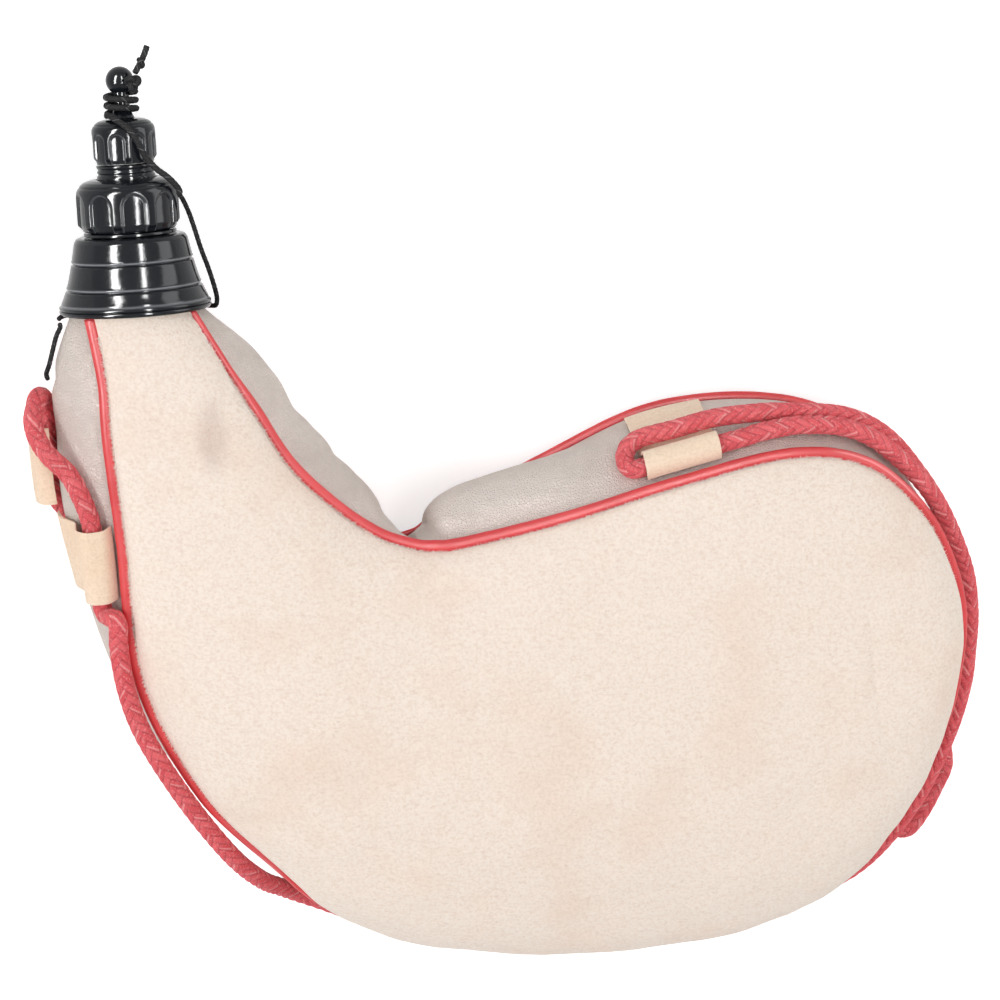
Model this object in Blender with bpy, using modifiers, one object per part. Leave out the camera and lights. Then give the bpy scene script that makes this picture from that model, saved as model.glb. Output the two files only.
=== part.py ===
"""Leather bota bag: a curved soft wine skin with a screw-on spout and a carry cord.

The bag lies on its back panel. +Z points out of the suede front, +Y towards the neck,
+X towards the rounded tip. Lengths are in metres.
"""
import math

import bmesh
import bpy
from mathutils import Matrix, Vector

# Driving sizes of the leather body
PANEL_WIDTH = 0.264
PANEL_LENGTH = 0.220
FRONT_SEAM_HEIGHT = 0.046
BACK_SEAM_HEIGHT = 0.008
CROWN_HEIGHT = 0.060
GUSSET_BULGE = 0.0145
BACK_DRIFT = 0.010
EDGE_ROLL = 0.034
PLAN_SHIFT_X = 0.0088
PLAN_SHIFT_Y = 0.0012

# Materials' thickness and the clearances between pieces
PANEL_THICKNESS = 0.0018
GUSSET_THICKNESS = 0.0014
BLADDER_THICKNESS = 0.0010
BLADDER_INSET = 0.0075
BLADDER_NECK_INSET = 0.0032
PIPING_RADIUS = 0.0018
CLEARANCE = 0.0003
FLOOR_CLEARANCE = 0.0003

# Threaded insert inside the neck
INSERT_RADIUS = 0.0113
INSERT_WALL = 0.0023
INSERT_BORE_RADIUS = INSERT_RADIUS - INSERT_WALL
INSERT_BOTTOM = 0.0040
INSERT_FLANGE = 0.0023
INSERT_FLANGE_RADIUS = INSERT_RADIUS + INSERT_FLANGE
INSERT_FLANGE_THICKNESS = 0.0009
THREAD_RIDGE = 0.0008
NUT_PITCH = 0.0035
NUT_THREAD_TURNS = 1.75

# Neck collar, a turned bell that clamps the leather neck on the insert
CLAMP_RADIUS = INSERT_RADIUS + 3 * CLEARANCE + BLADDER_THICKNESS + PANEL_THICKNESS / 2
COLLAR_TOP_COVER = 0.0023
COLLAR_SPREAD = 0.0059
COLLAR_TOP_RADIUS = CLAMP_RADIUS + COLLAR_TOP_COVER
COLLAR_BASE_RADIUS = COLLAR_TOP_RADIUS + COLLAR_SPREAD
COLLAR_HEIGHT = 0.0222
COLLAR_BASE_WALL = 0.0018
COLLAR_TOP_WALL = 0.0024
COLLAR_BEAD_HEIGHT = 0.0029
COLLAR_SHOULDER = 0.0014
GROOVE_WIDTH = 0.0010
GROOVE_DEPTH = 0.0005
NECK_X_SHARE = 0.047
NECK_LEAN = math.radians(0.7)
NECK_SEAM_ANGLE = math.radians(51)

# Spout nut and gasket
RUNNING_GAP = 0.0003
NUT_BORE_RADIUS = INSERT_RADIUS + THREAD_RIDGE + RUNNING_GAP
NUT_WALL = 0.0027
NUT_RADIUS = NUT_BORE_RADIUS + NUT_WALL
NUT_GAP = 0.0016
NUT_HEIGHT = 0.0151
NUT_ROOF = 0.0021
NUT_DOME_HEIGHT = 0.0046
NUT_FLUTES = 9
GASKET_THICKNESS = 0.0010
NUT_BOTTOM = COLLAR_HEIGHT + NUT_GAP
NUT_TOP = NUT_BOTTOM + NUT_HEIGHT
NUT_CEILING = NUT_TOP - NUT_ROOF

# Spout: its flange is clamped between the nut's roof and the gasket on the insert
SPOUT_FLANGE_THICKNESS = 0.0014
SPOUT_RADIUS = 0.0086
SPOUT_NECK_HEIGHT = 0.0040
SPOUT_LEDGE = 0.0025
SPOUT_THREAD_HEIGHT = 0.0071
SPOUT_TIP_RADIUS = 0.0026
SPOUT_TIP_HEIGHT = 0.0037
SPOUT_JET_RADIUS = 0.0009
FLANGE_TOP = NUT_CEILING - RUNNING_GAP
FLANGE_BOTTOM = FLANGE_TOP - SPOUT_FLANGE_THICKNESS
GASKET_BOTTOM = FLANGE_BOTTOM - CLEARANCE - GASKET_THICKNESS
INSERT_TOP = GASKET_BOTTOM - CLEARANCE
SPOUT_SHOULDER = NUT_TOP + SPOUT_NECK_HEIGHT
SPOUT_THREAD_RADIUS = SPOUT_RADIUS - SPOUT_LEDGE
SPOUT_THREAD_TOP = SPOUT_SHOULDER + SPOUT_THREAD_HEIGHT
SPOUT_TIP = SPOUT_THREAD_TOP + SPOUT_TIP_HEIGHT
CAP_PITCH = 0.0030
CAP_THREAD_TURNS = 1.5

# Small cap with its ball knob
CAP_SKIRT = 0.0007
CAP_RADIUS = SPOUT_RADIUS + CAP_SKIRT
CAP_GAP = 0.0004
CAP_HEIGHT = 0.0129
CAP_DOME_HEIGHT = 0.0036
CAP_BOTTOM = SPOUT_SHOULDER + CAP_GAP
CAP_TOP = CAP_BOTTOM + CAP_HEIGHT
CAP_DOME_START = CAP_TOP - CAP_DOME_HEIGHT
CAP_WALL = 0.0021
CAP_FLUTES = 9
SEAL_THICKNESS = 0.0008
STEM_RADIUS = 0.0025
STEM_RISE = 0.0023
STEM_BOTTOM = CAP_TOP + STEM_RISE
BALL_RISE = 0.0110
BALL_CENTRE = CAP_TOP + BALL_RISE
BALL_RADIUS = 0.0041
FLUTE_DEPTH = 0.0008

# Black tether cord, doubled over the caps and single down the side of the collar
TETHER_RADIUS = 0.0009
TETHER_LOWER_RADIUS = 0.0007
TETHER_KNOT_RADIUS = 0.0023
LOOP_DROP = 0.0011

# Tether places: angle from the neck's top side in degrees, positive towards +X, then the
# distance from the neck's axis and the height over the collar's rim
TETHER_WRAP_RADIUS = 0.0043
TETHER_WRAP_PITCH = 0.00245
TETHER_WRAP_BOTTOM = 0.0576
TETHER_WRAP_TURNS = 2.68
TETHER_WRAP_START = -90
TETHER_WRAP_POINTS = 12
TETHER_KNOT_PLACE = (26, 0.0071, 0.0666)
TETHER_TAIL_ROUTE = [(33, 0.0073, 0.0694), (44, 0.0074, 0.0711), (55, 0.0076, 0.0726),
                     (60, 0.0083, 0.0744), (65, 0.0091, 0.0768)]
TETHER_TAIL_KNOT_SHARES = (1.0, 1.2, 1.6, 1.2, 1.0)
TETHER_UPPER_ROUTE = [(56, 0.0167, 0.0353), (47, 0.0150, 0.0388), (38, 0.0125, 0.0416),
                      (27, 0.0111, 0.0450), (16, 0.0110, 0.0492), (4, 0.0106, 0.0532),
                      (-18, 0.0086, 0.0563), (-45, 0.0062, 0.0575), (-70, 0.0049, 0.0573)]
TETHER_LOWER_ROUTE = [(57, 0.0167, 0.0336), (65, 0.0167, 0.0320), (78, 0.0174, 0.0280),
                      (82, 0.0186, 0.0234), (82, 0.0202, 0.0170), (84, 0.0220, 0.0110),
                      (86, 0.0234, 0.0055), (91, 0.0242, 0.0018), (98, 0.0244, -0.0006)]
TETHER_LOOP_RADIUS = 0.0225
TETHER_LOOP_SWELL = 0.0019
TETHER_LOOP_START = 106
TETHER_LOOP_SWEEP = 156
TETHER_LOOP_POINTS = 14
TETHER_END_ROUTE = [(-95, 0.0224, -0.0037), (-93, 0.0237, -0.0060), (-94, 0.0250, -0.0100),
                    (-95, 0.0263, -0.0142), (-101, 0.0275, -0.0172), (-108, 0.0278, -0.0190)]
TETHER_SPACING = 0.0045

# Red carry cord and its leather keepers
CARRY_RADIUS = 0.00275
CARRY_KNOT_RADIUS = 0.0048
CARRY_KNOT_PLACE = (-0.0064, -0.1467, 0.0051)
CARRY_SPACING = 0.0165
CARRY_TURN = math.radians(32)
# Cord route from the plan's middle: from the knot along the floor, up through the keeper by the
# neck, down the outer side, round under the suede's edge to the top keeper, back outside it and
# along the floor again
CARRY_ROUTE = [
    (-0.0141, -0.1453, 0.0050), (-0.0242, -0.1420, 0.0042), (-0.0349, -0.1378, 0.0032),
    (-0.0516, -0.1301, 0.0030), (-0.0677, -0.1201, 0.0030), (-0.0779, -0.1097, 0.0030),
    (-0.0900, -0.0960, 0.0030), (-0.1035, -0.0807, 0.0030), (-0.1143, -0.0622, 0.0030),
    (-0.1235, -0.0401, 0.0030), (-0.1284, -0.0222, 0.0030), (-0.1326, -0.0078, 0.0035),
    (-0.1365, 0.0013, 0.0064), (-0.1389, 0.0070, 0.0102), (-0.1421, 0.0113, 0.0136),
    (-0.1447, 0.0166, 0.0166), (-0.1457, 0.0228, 0.0174), (-0.1461, 0.0286, 0.0174),
    (-0.1465, 0.0350, 0.0173), (-0.1466, 0.0444, 0.0156), (-0.1478, 0.0480, 0.0182),
    (-0.1494, 0.0488, 0.0220), (-0.1507, 0.0466, 0.0258), (-0.1516, 0.0445, 0.0290),
    (-0.1509, 0.0402, 0.0320), (-0.1478, 0.0351, 0.0340), (-0.1425, 0.0294, 0.0355),
    (-0.1392, 0.0226, 0.0377), (-0.1368, 0.0147, 0.0390), (-0.1354, 0.0024, 0.0388),
    (-0.1340, -0.0131, 0.0384), (-0.1309, -0.0142, 0.0457), (-0.1304, -0.0238, 0.0442),
    (-0.1287, -0.0363, 0.0441), (-0.1248, -0.0499, 0.0429), (-0.1183, -0.0635, 0.0432),
    (-0.1084, -0.0810, 0.0409), (-0.0969, -0.0985, 0.0369), (-0.0872, -0.1108, 0.0290),
    (-0.0795, -0.1188, 0.0195), (-0.0690, -0.1265, 0.0130), (-0.0433, -0.1387, 0.0110),
    (-0.0069, -0.1462, 0.0133), (0.0339, -0.1489, 0.0110), (0.0715, -0.1448, 0.0120),
    (0.0936, -0.1355, 0.0205), (0.1083, -0.1238, 0.0264), (0.1221, -0.1037, 0.0302),
    (0.1314, -0.0814, 0.0319), (0.1358, -0.0640, 0.0327), (0.1369, -0.0515, 0.0326),
    (0.1372, -0.0397, 0.0325), (0.1357, -0.0278, 0.0324), (0.1322, -0.0172, 0.0331),
    (0.1266, -0.0049, 0.0344), (0.1203, 0.0052, 0.0368), (0.1122, 0.0142, 0.0364),
    (0.1020, 0.0228, 0.0364), (0.0912, 0.0275, 0.0374), (0.0788, 0.0293, 0.0388),
    (0.0718, 0.0290, 0.0393), (0.0651, 0.0282, 0.0399), (0.0624, 0.0275, 0.0401),
    (0.0532, 0.0256, 0.0402), (0.0415, 0.0229, 0.0403), (0.0343, 0.0213, 0.0403),
    (0.0298, 0.0201, 0.0404), (0.0266, 0.0195, 0.0401), (0.0252, 0.0203, 0.0386),
    (0.0249, 0.0220, 0.0366), (0.0264, 0.0246, 0.0345), (0.0300, 0.0267, 0.0335),
    (0.0350, 0.0279, 0.0335), (0.0407, 0.0290, 0.0336), (0.0524, 0.0315, 0.0335),
    (0.0638, 0.0322, 0.0334), (0.0743, 0.0317, 0.0326), (0.0945, 0.0287, 0.0318),
    (0.1086, 0.0204, 0.0300), (0.1203, 0.0063, 0.0274), (0.1284, -0.0067, 0.0263),
    (0.1334, -0.0188, 0.0257), (0.1365, -0.0294, 0.0254), (0.1376, -0.0397, 0.0254),
    (0.1375, -0.0498, 0.0252), (0.1372, -0.0600, 0.0239), (0.1366, -0.0710, 0.0205),
    (0.1362, -0.0816, 0.0155), (0.1374, -0.0926, 0.0100), (0.1398, -0.1037, 0.0056),
    (0.1378, -0.1120, 0.0034), (0.1342, -0.1200, 0.0030), (0.1303, -0.1257, 0.0030),
    (0.1276, -0.1269, 0.0030), (0.1252, -0.1256, 0.0030), (0.1215, -0.1201, 0.0031),
    (0.1125, -0.1234, 0.0031), (0.0885, -0.1334, 0.0030), (0.0665, -0.1413, 0.0030),
    (0.0389, -0.1455, 0.0030), (0.0237, -0.1470, 0.0034), (0.0127, -0.1479, 0.0042),
    (0.0014, -0.1476, 0.0050),
]
KEEPER_WIDTH = 0.0235
KEEPER_THICKNESS = 0.0016

KEEPER_STAND_OFF = 0.0065
KEEPER_TOP_PLACE = 19.92
KEEPER_LEFT_PLACE = 3.17
KEEPER_NECK_PLACE = 2.42

# Smaller values of the bladder, neck pieces and caps
BLADDER_TIP_LENGTH = 0.045
COLLAR_LIP = 0.0005
COLLAR_FLARE_SHARE = 0.3
COLLAR_EDGE_SHARE = 0.3
SPOUT_CHAMFER_SHARE = 0.2
COLLAR_BEAD_SHARE = 0.8
COLLAR_STEP_SHARE = 1.5
COLLAR_GROOVE_SHARES = (0.66, 0.32)
COLLAR_INNER_SHARES = (0.18, 0.5, 0.85)
BINDING_THICKNESS = 0.0008
BINDING_WIDTH = 0.0034
BINDING_SHARE = 0.42
BINDING_EDGE_SHARE = 0.33
CAP_THREAD_RIDGE = 0.0006
SPOUT_CONE_STEP = 0.0015
SPOUT_WALL = 0.0016
NUT_FLUTE_WIDTH = 0.0068
CAP_FLUTE_WIDTH = 0.0044
FLUTE_RIM = 0.0012
STEM_FLARE = 0.0012
# Dome outline: out from the hole's edge and up from the dome's start, as shares
DOME_SHARES = [(1.0, 0.0), (0.985, 0.24), (0.91, 0.45), (0.84, 0.53), (0.80, 0.66), (0.62, 0.84),
               (0.32, 0.96), (0.0, 1.0)]

# Keeper outlines: how far across the gusset from the front seam, and how far the strap stands
# off it, as shares of the gusset's width and of KEEPER_STAND_OFF
KEEPER_SHARES = [(0.03, 0.0), (0.04, 0.60), (0.09, 0.92), (0.14, 1.0), (0.20, 0.85),
                 (0.25, 0.35), (0.30, 0.05), (0.42, 0.0), (0.60, 0.0)]
KEEPER_TOP_SHARES = KEEPER_SHARES + [(0.76, 0.0), (0.92, 0.0)]
KEEPER_NECK_SHARES = [(0.50, 0.0), (0.54, 0.55), (0.61, 0.92), (0.70, 1.0), (0.79, 0.92),
                      (0.87, 0.55), (0.92, 0.0)]

# Resolution of the lofts and cords
ROUTE_STEPS = 12
KNOT_SEGMENTS = 12
KNOT_RINGS = 8
STEPS_PER_STATION = 2
PANEL_RINGS = 6
GUSSET_BANDS = 6
TURNED_STEPS = 24
BLADDER_SIDES = 20
KEEPER_COLUMNS = 4
THREAD_POINTS = 16
WELD_DISTANCE = 0.00005
POINT_WELD = 0.00001
SLIVER_AREA = 1e-10
SEAM_STEP = 0.01
FLUTE_ARCH_POINTS = 6
BALL_POINTS = 8

# Stations round the seam, from the outer side of the neck to the tip and back to its inner
# side. Each row: x and y of the front seam as shares of the panel, its height as a share of
# FRONT_SEAM_HEIGHT, the gusset's swell as a share of GUSSET_BULGE, and how far the back seam
# lies off the front seam along x and y as shares of BACK_DRIFT.
SEAM_SHARES = [
    (0.001, 0.928, 0.85, 0.72, -0.30, 0.00),
    (0.003, 0.849, 0.91, 0.79, -0.40, 0.00),
    (0.014, 0.707, 0.93, 0.79, -0.40, 0.00),
    (0.030, 0.500, 0.91, 0.42, 0.00, 0.00),
    (0.095, 0.325, 0.87, 0.22, 0.00, 0.00),
    (0.178, 0.207, 0.83, 0.28, 0.00, 0.00),
    (0.256, 0.113, 0.73, 0.25, 0.00, 0.00),
    (0.371, 0.049, 0.59, 0.14, 0.00, 0.00),
    (0.553, 0.014, 0.54, 0.12, 0.00, 0.00),
    (0.735, 0.023, 0.57, 0.12, 0.00, 0.00),
    (0.866, 0.087, 0.67, 0.16, 0.00, 0.00),
    (0.943, 0.205, 0.78, 0.24, 0.00, 0.00),
    (0.986, 0.337, 0.85, 0.20, 0.00, 0.00),
    (0.998, 0.422, 0.87, 0.12, 0.00, 0.00),
    (1.000, 0.495, 0.87, 0.09, 0.00, 0.00),
    (0.986, 0.568, 0.87, 0.09, 0.00, 0.00),
    (0.949, 0.656, 0.89, 0.12, 0.00, 0.00),
    (0.878, 0.738, 0.93, 0.22, 0.00, 0.20),
    (0.783, 0.765, 0.98, 0.26, 0.00, 0.50),
    (0.650, 0.738, 1.00, 0.14, 0.00, 1.00),
    (0.516, 0.698, 1.00, 0.42, 0.00, 0.40),
    (0.400, 0.671, 0.98, 0.50, 0.00, -0.50),
    (0.367, 0.668, 0.96, 0.20, 0.00, -0.90),
    (0.341, 0.674, 0.96, 0.10, 0.00, -1.10),
    (0.300, 0.696, 0.96, 0.48, 0.00, -0.50),
    (0.251, 0.743, 0.96, 0.62, 0.00, 0.00),
    (0.205, 0.803, 0.96, 0.68, 0.00, 0.00),
    (0.167, 0.880, 0.93, 0.66, 0.00, 0.00),
    (0.139, 0.937, 0.87, 0.56, 0.00, 0.00),
]
SIDE_STATIONS = len(SEAM_SHARES) // 2
LAST_STATION = 2 * (SIDE_STATIONS + 1)
TIP_STATION = SIDE_STATIONS + 1

# Height of the suede's crown line at each station, as shares of CROWN_HEIGHT
CROWN_SHARES = [0.60, 0.77, 0.84, 0.90, 0.95, 0.98, 1.00, 1.00, 1.00, 1.00, 0.99, 0.97, 0.94]
CROWN_END_SHARE = 0.77
PANEL_RISE_SHARE = 0.55
PANEL_FLAT_SHARE = 0.58
BACK_FLAT_SHARE = 0.36
EDGE_ROLL_POWER_SHARE = 1.3
NECK_BLEND_STATIONS = 2.0

# Leather neck inside the collar: height as shares of COLLAR_HEIGHT, and how far the wall is
# drawn in from its width at the rim towards the insert
NECK_FOLD_SHARES = [(0.15, 0.40), (0.40, 1.0), (0.68, 1.0)]


def plan_point(x_share, y_share):
    """Place on the floor plan from shares of the panel's width and length."""
    x = (x_share - 0.5) * PANEL_WIDTH + PLAN_SHIFT_X
    y = y_share * PANEL_LENGTH - (PANEL_LENGTH + BALL_CENTRE + BALL_RADIUS) / 2 + PLAN_SHIFT_Y
    return x, y


# The neck rests on the rims of the collar and the nut, which sets how far it droops
COLLAR_REST = COLLAR_BEAD_HEIGHT * COLLAR_BEAD_SHARE
NUT_REST = NUT_BOTTOM + NUT_HEIGHT - NUT_DOME_HEIGHT
NECK_DROOP = math.atan((COLLAR_BASE_RADIUS - NUT_RADIUS) / (NUT_REST - COLLAR_REST))
REST_DROP = COLLAR_REST * math.sin(NECK_DROOP)
NECK_HEIGHT = COLLAR_BASE_RADIUS * math.cos(NECK_DROOP) + REST_DROP + FLOOR_CLEARANCE
NECK_BASE = Vector((*plan_point(NECK_X_SHARE, 1.0), NECK_HEIGHT))
NECK_MATRIX = (
    Matrix.Translation(NECK_BASE)
    @ Matrix.Rotation(NECK_LEAN, 4, "Z")
    @ Matrix.Rotation(-math.pi / 2 - NECK_DROOP, 4, "X")
)
NECK_UP = (NECK_MATRIX.to_3x3() @ Vector((0, -1, 0))).normalized()

PIPING_DROP = CLEARANCE + PIPING_RADIUS / 2
PANEL_INSET = PIPING_RADIUS + CLEARANCE + PANEL_THICKNESS / 2
GUSSET_INSET = PIPING_RADIUS + CLEARANCE + GUSSET_THICKNESS / 2
NECK_RADIUS = COLLAR_BASE_RADIUS - COLLAR_BASE_WALL - 2 * CLEARANCE - PANEL_THICKNESS / 2


def neck_point(angle, radius, height):
    """World place at an angle from the neck's top side, positive towards +X."""
    local = Vector((radius * math.sin(angle), -radius * math.cos(angle), height))
    return NECK_MATRIX @ local


def catmull_rom(rows, place):
    """Value at a place along a smooth curve through the rows, which are lists of numbers."""
    index = min(max(int(math.floor(place)), 0), len(rows) - 2)
    t = place - index
    before = rows[max(index - 1, 0)]
    after = rows[min(index + 2, len(rows) - 1)]
    result = []
    for a, b, c, d in zip(before, rows[index], rows[index + 1], after):
        result.append(0.5 * (2 * b + (c - a) * t + (2 * a - 5 * b + 4 * c - d) * t * t
                             + (3 * b - a - 3 * c + d) * t ** 3))
    return result


def neck_seam_row(side):
    """Seam row at the neck, on its outer side (-1) or inner side (+1)."""
    front = neck_point(side * NECK_SEAM_ANGLE, NECK_RADIUS, 0)
    back = neck_point(side * (math.pi - NECK_SEAM_ANGLE), NECK_RADIUS, 0)
    swell = NECK_RADIUS * (1 - math.sin(NECK_SEAM_ANGLE))
    return [*front, *back, swell]


def seam_rows():
    """Front seam place, back seam place and swell at every station."""
    rows = [neck_seam_row(-1)]
    for x_share, y_share, height, swell, drift_x, drift_y in SEAM_SHARES:
        x, y = plan_point(x_share, y_share)
        front = [x, y, height * FRONT_SEAM_HEIGHT]
        back = [x + drift_x * BACK_DRIFT, y + drift_y * BACK_DRIFT, BACK_SEAM_HEIGHT]
        rows.append([*front, *back, swell * GUSSET_BULGE])
    rows.append(neck_seam_row(1))
    return rows


SEAM_ROWS = seam_rows()


def front_seam(place):
    return Vector(catmull_rom(SEAM_ROWS, place)[0:3])


def back_seam(place):
    return Vector(catmull_rom(SEAM_ROWS, place)[3:6])


def opposite(place):
    return LAST_STATION - place


def smooth(t):
    t = min(max(t, 0), 1)
    return t * t * (3 - 2 * t)


def neck_share(place):
    """How far a place follows the round neck: 1 at the collar, 0 in the bag."""
    return 1 - smooth(min(place, opposite(place)) / NECK_BLEND_STATIONS)


def outward(place):
    """Level direction out of the bag, square to the front seam."""
    ahead = front_seam(min(place + SEAM_STEP, LAST_STATION))
    behind = front_seam(max(place - SEAM_STEP, 0))
    along = ahead - behind
    square = Vector((along.y, -along.x, 0)).normalized()
    sideways = NECK_MATRIX.to_3x3() @ Vector((1 if place > TIP_STATION else -1, 0, 0))
    return square.lerp(sideways, neck_share(place)).normalized()


def crown_height(station):
    row = [[share * CROWN_HEIGHT] for share in CROWN_SHARES]
    return catmull_rom(row, station)[0]


def crown_station(place):
    last = CROWN_END_SHARE * TIP_STATION
    return min(place, opposite(place), last)


def middle(seam, station):
    """Point of the spine halfway between the two sides of a seam."""
    return (seam(station) + seam(opposite(station))) / 2


def bezier(points, t):
    a, b, c, d = points
    s = 1 - t
    return a * s ** 3 + b * 3 * s * s * t + c * 3 * s * t * t + d * t ** 3


def neck_arc(seam, station, place, share, side):
    """Point of a round neck section, above (1) or below (-1) the line between its seams."""
    centre = middle(seam, station)
    radius = (seam(place) - centre).length / math.sin(NECK_SEAM_ANGLE)
    angle = (NECK_SEAM_ANGLE - PANEL_INSET / radius) * (1 - share)
    across = 1 - math.sin(angle) / math.sin(NECK_SEAM_ANGLE)
    rise = radius * (math.cos(angle) - math.cos(NECK_SEAM_ANGLE))
    return seam(place).lerp(centre, across) + NECK_UP * (rise * side)


def front_panel_point(place, share):
    """Mid surface of the suede front, from its stitched edge (0) to its crown line (1)."""
    seam = front_seam(place)
    station = crown_station(place)
    crown = middle(front_seam, station)
    crown.z = crown_height(station)
    beside = (Vector((0, 0, 1)) - outward(place)).normalized()
    edge = seam + beside * PANEL_INSET
    roll = EDGE_ROLL * max(1 - seam.z / FRONT_SEAM_HEIGHT, 0) ** EDGE_ROLL_POWER_SHARE
    rise = Vector((0, 0, (crown.z - seam.z) * PANEL_RISE_SHARE))
    shoulder = edge + outward(place) * roll + rise
    flat = crown.lerp(edge, PANEL_FLAT_SHARE)
    flat.z = crown.z
    pillow = bezier((edge, shoulder, flat, crown), share)
    if neck_share(place) == 0:
        return pillow
    return pillow.lerp(neck_arc(front_seam, station, place, share, 1), neck_share(place))


def back_panel_point(place, share):
    """Mid surface of the back, from its stitched edge (0) to its spine (1)."""
    seam = back_seam(place)
    station = crown_station(place)
    spine = middle(back_seam, station)
    spine.z = PANEL_THICKNESS / 2
    edge = seam - outward(place) * PANEL_INSET
    level = edge.lerp(spine, share)
    fall = 1 - min(share / BACK_FLAT_SHARE, 1)
    level.z = spine.z + (edge.z - spine.z) * fall * fall
    if neck_share(place) == 0:
        return level
    arc = neck_arc(back_seam, station, place, share, -1)
    arc.z = max(arc.z, spine.z)
    return level.lerp(arc, neck_share(place))


def gusset_point(place, share):
    """Mid surface of the gusset from the front seam (0) to the back seam (1)."""
    gap = Vector((0, 0, GUSSET_INSET))
    top = front_seam(place) - gap
    bottom = back_seam(place) + gap
    swell = catmull_rom(SEAM_ROWS, place)[6]
    return top.lerp(bottom, share) + outward(place) * (swell * math.sin(math.pi * share))


def above_gusset(place, share, lift):
    """Point at a distance off the gusset's mid surface, square to it."""
    step = SEAM_STEP
    along = gusset_point(place + step, share) - gusset_point(place - step, share)
    down = gusset_point(place, share + step) - gusset_point(place, share - step)
    return gusset_point(place, share) + down.cross(along).normalized() * lift


def seam_places(steps=STEPS_PER_STATION):
    count = LAST_STATION * steps
    return [index / steps for index in range(count + 1)]


def fold_radius(drawn_in):
    return NECK_RADIUS + (CLAMP_RADIUS - NECK_RADIUS) * drawn_in


def fold_rows(start_angle, end_angle, count, reduction=0.0):
    """Rows of the leather neck inside the collar, from its top end down to the rim."""
    rows = []
    for height_share, drawn_in in reversed(NECK_FOLD_SHARES):
        radius = fold_radius(drawn_in) - reduction
        row = []
        for index in range(count + 1):
            angle = start_angle + (end_angle - start_angle) * index / count
            row.append(neck_point(angle, radius, height_share * COLLAR_HEIGHT))
        rows.append(row)
    return rows


SEAL_BOTTOM = SPOUT_SHOULDER + CLEARANCE
SEAL_RADIUS = SPOUT_RADIUS - CLEARANCE
SEAL_RECESS_TOP = SEAL_BOTTOM + SEAL_THICKNESS + CLEARANCE
FLANGE_RADIUS = NUT_BORE_RADIUS - RUNNING_GAP
SPOUT_WELL_RADIUS = SPOUT_RADIUS - SPOUT_WALL
SPOUT_CONE_RADIUS = SPOUT_THREAD_RADIUS - SPOUT_CONE_STEP
CAP_BORE_RADIUS = SPOUT_THREAD_RADIUS + CAP_THREAD_RIDGE + RUNNING_GAP

COLLECTION = bpy.data.collections.new("leather_bota_bag")
CUTTERS = bpy.data.collections.new("cutters")


def clear_scene():
    for old in list(bpy.data.objects):
        bpy.data.objects.remove(old, do_unlink=True)
    for collection in (COLLECTION, CUTTERS):
        bpy.context.scene.collection.children.link(collection)


def material(name, colour, roughness, metallic=0.0):
    made = bpy.data.materials.new(name)
    made.use_nodes = True
    shader = made.node_tree.nodes["Principled BSDF"]
    shader.inputs["Base Color"].default_value = (*colour, 1)
    shader.inputs["Roughness"].default_value = roughness
    shader.inputs["Metallic"].default_value = metallic
    return made


SUEDE = material("cream_suede", (0.87, 0.77, 0.68), 0.9)
GRAIN_LEATHER = material("pale_grain_leather", (0.68, 0.60, 0.54), 0.6)
TAN_LEATHER = material("tan_leather", (0.85, 0.70, 0.55), 0.6)
RED_VINYL = material("red_vinyl", (0.72, 0.09, 0.09), 0.3)
RED_CORD = material("red_braided_cord", (0.70, 0.13, 0.14), 0.8)
BLACK_CORD = material("black_cord", (0.02, 0.02, 0.02), 0.8)
BLACK_PLASTIC = material("black_moulded_plastic", (0.02, 0.022, 0.025), 0.2)
LATEX = material("latex", (0.75, 0.62, 0.4), 0.5)
SEAL_RUBBER = material("seal_rubber", (0.03, 0.03, 0.032), 0.7)
TWINE = material("waxed_twine", (0.6, 0.5, 0.35), 0.8)


def add_mesh(name, vertices, faces, finish):
    mesh = bpy.data.meshes.new(name)
    mesh.from_pydata([tuple(v) for v in vertices], [], faces)
    mesh.materials.append(finish)
    made = bpy.data.objects.new(name, mesh)
    COLLECTION.objects.link(made)
    mesh.shade_smooth()
    return made


def grid_mesh(name, rows, finish, closed=False):
    """Open sheet through rows of points that all have the same length."""
    width = len(rows[0])
    vertices = [point for row in rows for point in row]
    faces = []
    for r in range(len(rows) - 1):
        for c in range(width if closed else width - 1):
            d = (c + 1) % width
            faces.append((r * width + c, r * width + d, (r + 1) * width + d, (r + 1) * width + c))
    return add_mesh(name, vertices, faces, finish)


def weld(made):
    mesh = bmesh.new()
    mesh.from_mesh(made.data)
    bmesh.ops.remove_doubles(mesh, verts=mesh.verts, dist=WELD_DISTANCE)
    loose = [face for face in mesh.faces if face.calc_area() < SLIVER_AREA]
    bmesh.ops.delete(mesh, geom=loose, context="FACES")
    mesh.to_mesh(made.data)
    mesh.free()
    made.data.shade_smooth()


def thicken(made, thickness):
    """Give an open sheet its thickness, half to each side."""
    solid = made.modifiers.new("thickness", "SOLIDIFY")
    solid.thickness = thickness
    solid.offset = 0
    solid.use_even_offset = True


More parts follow.
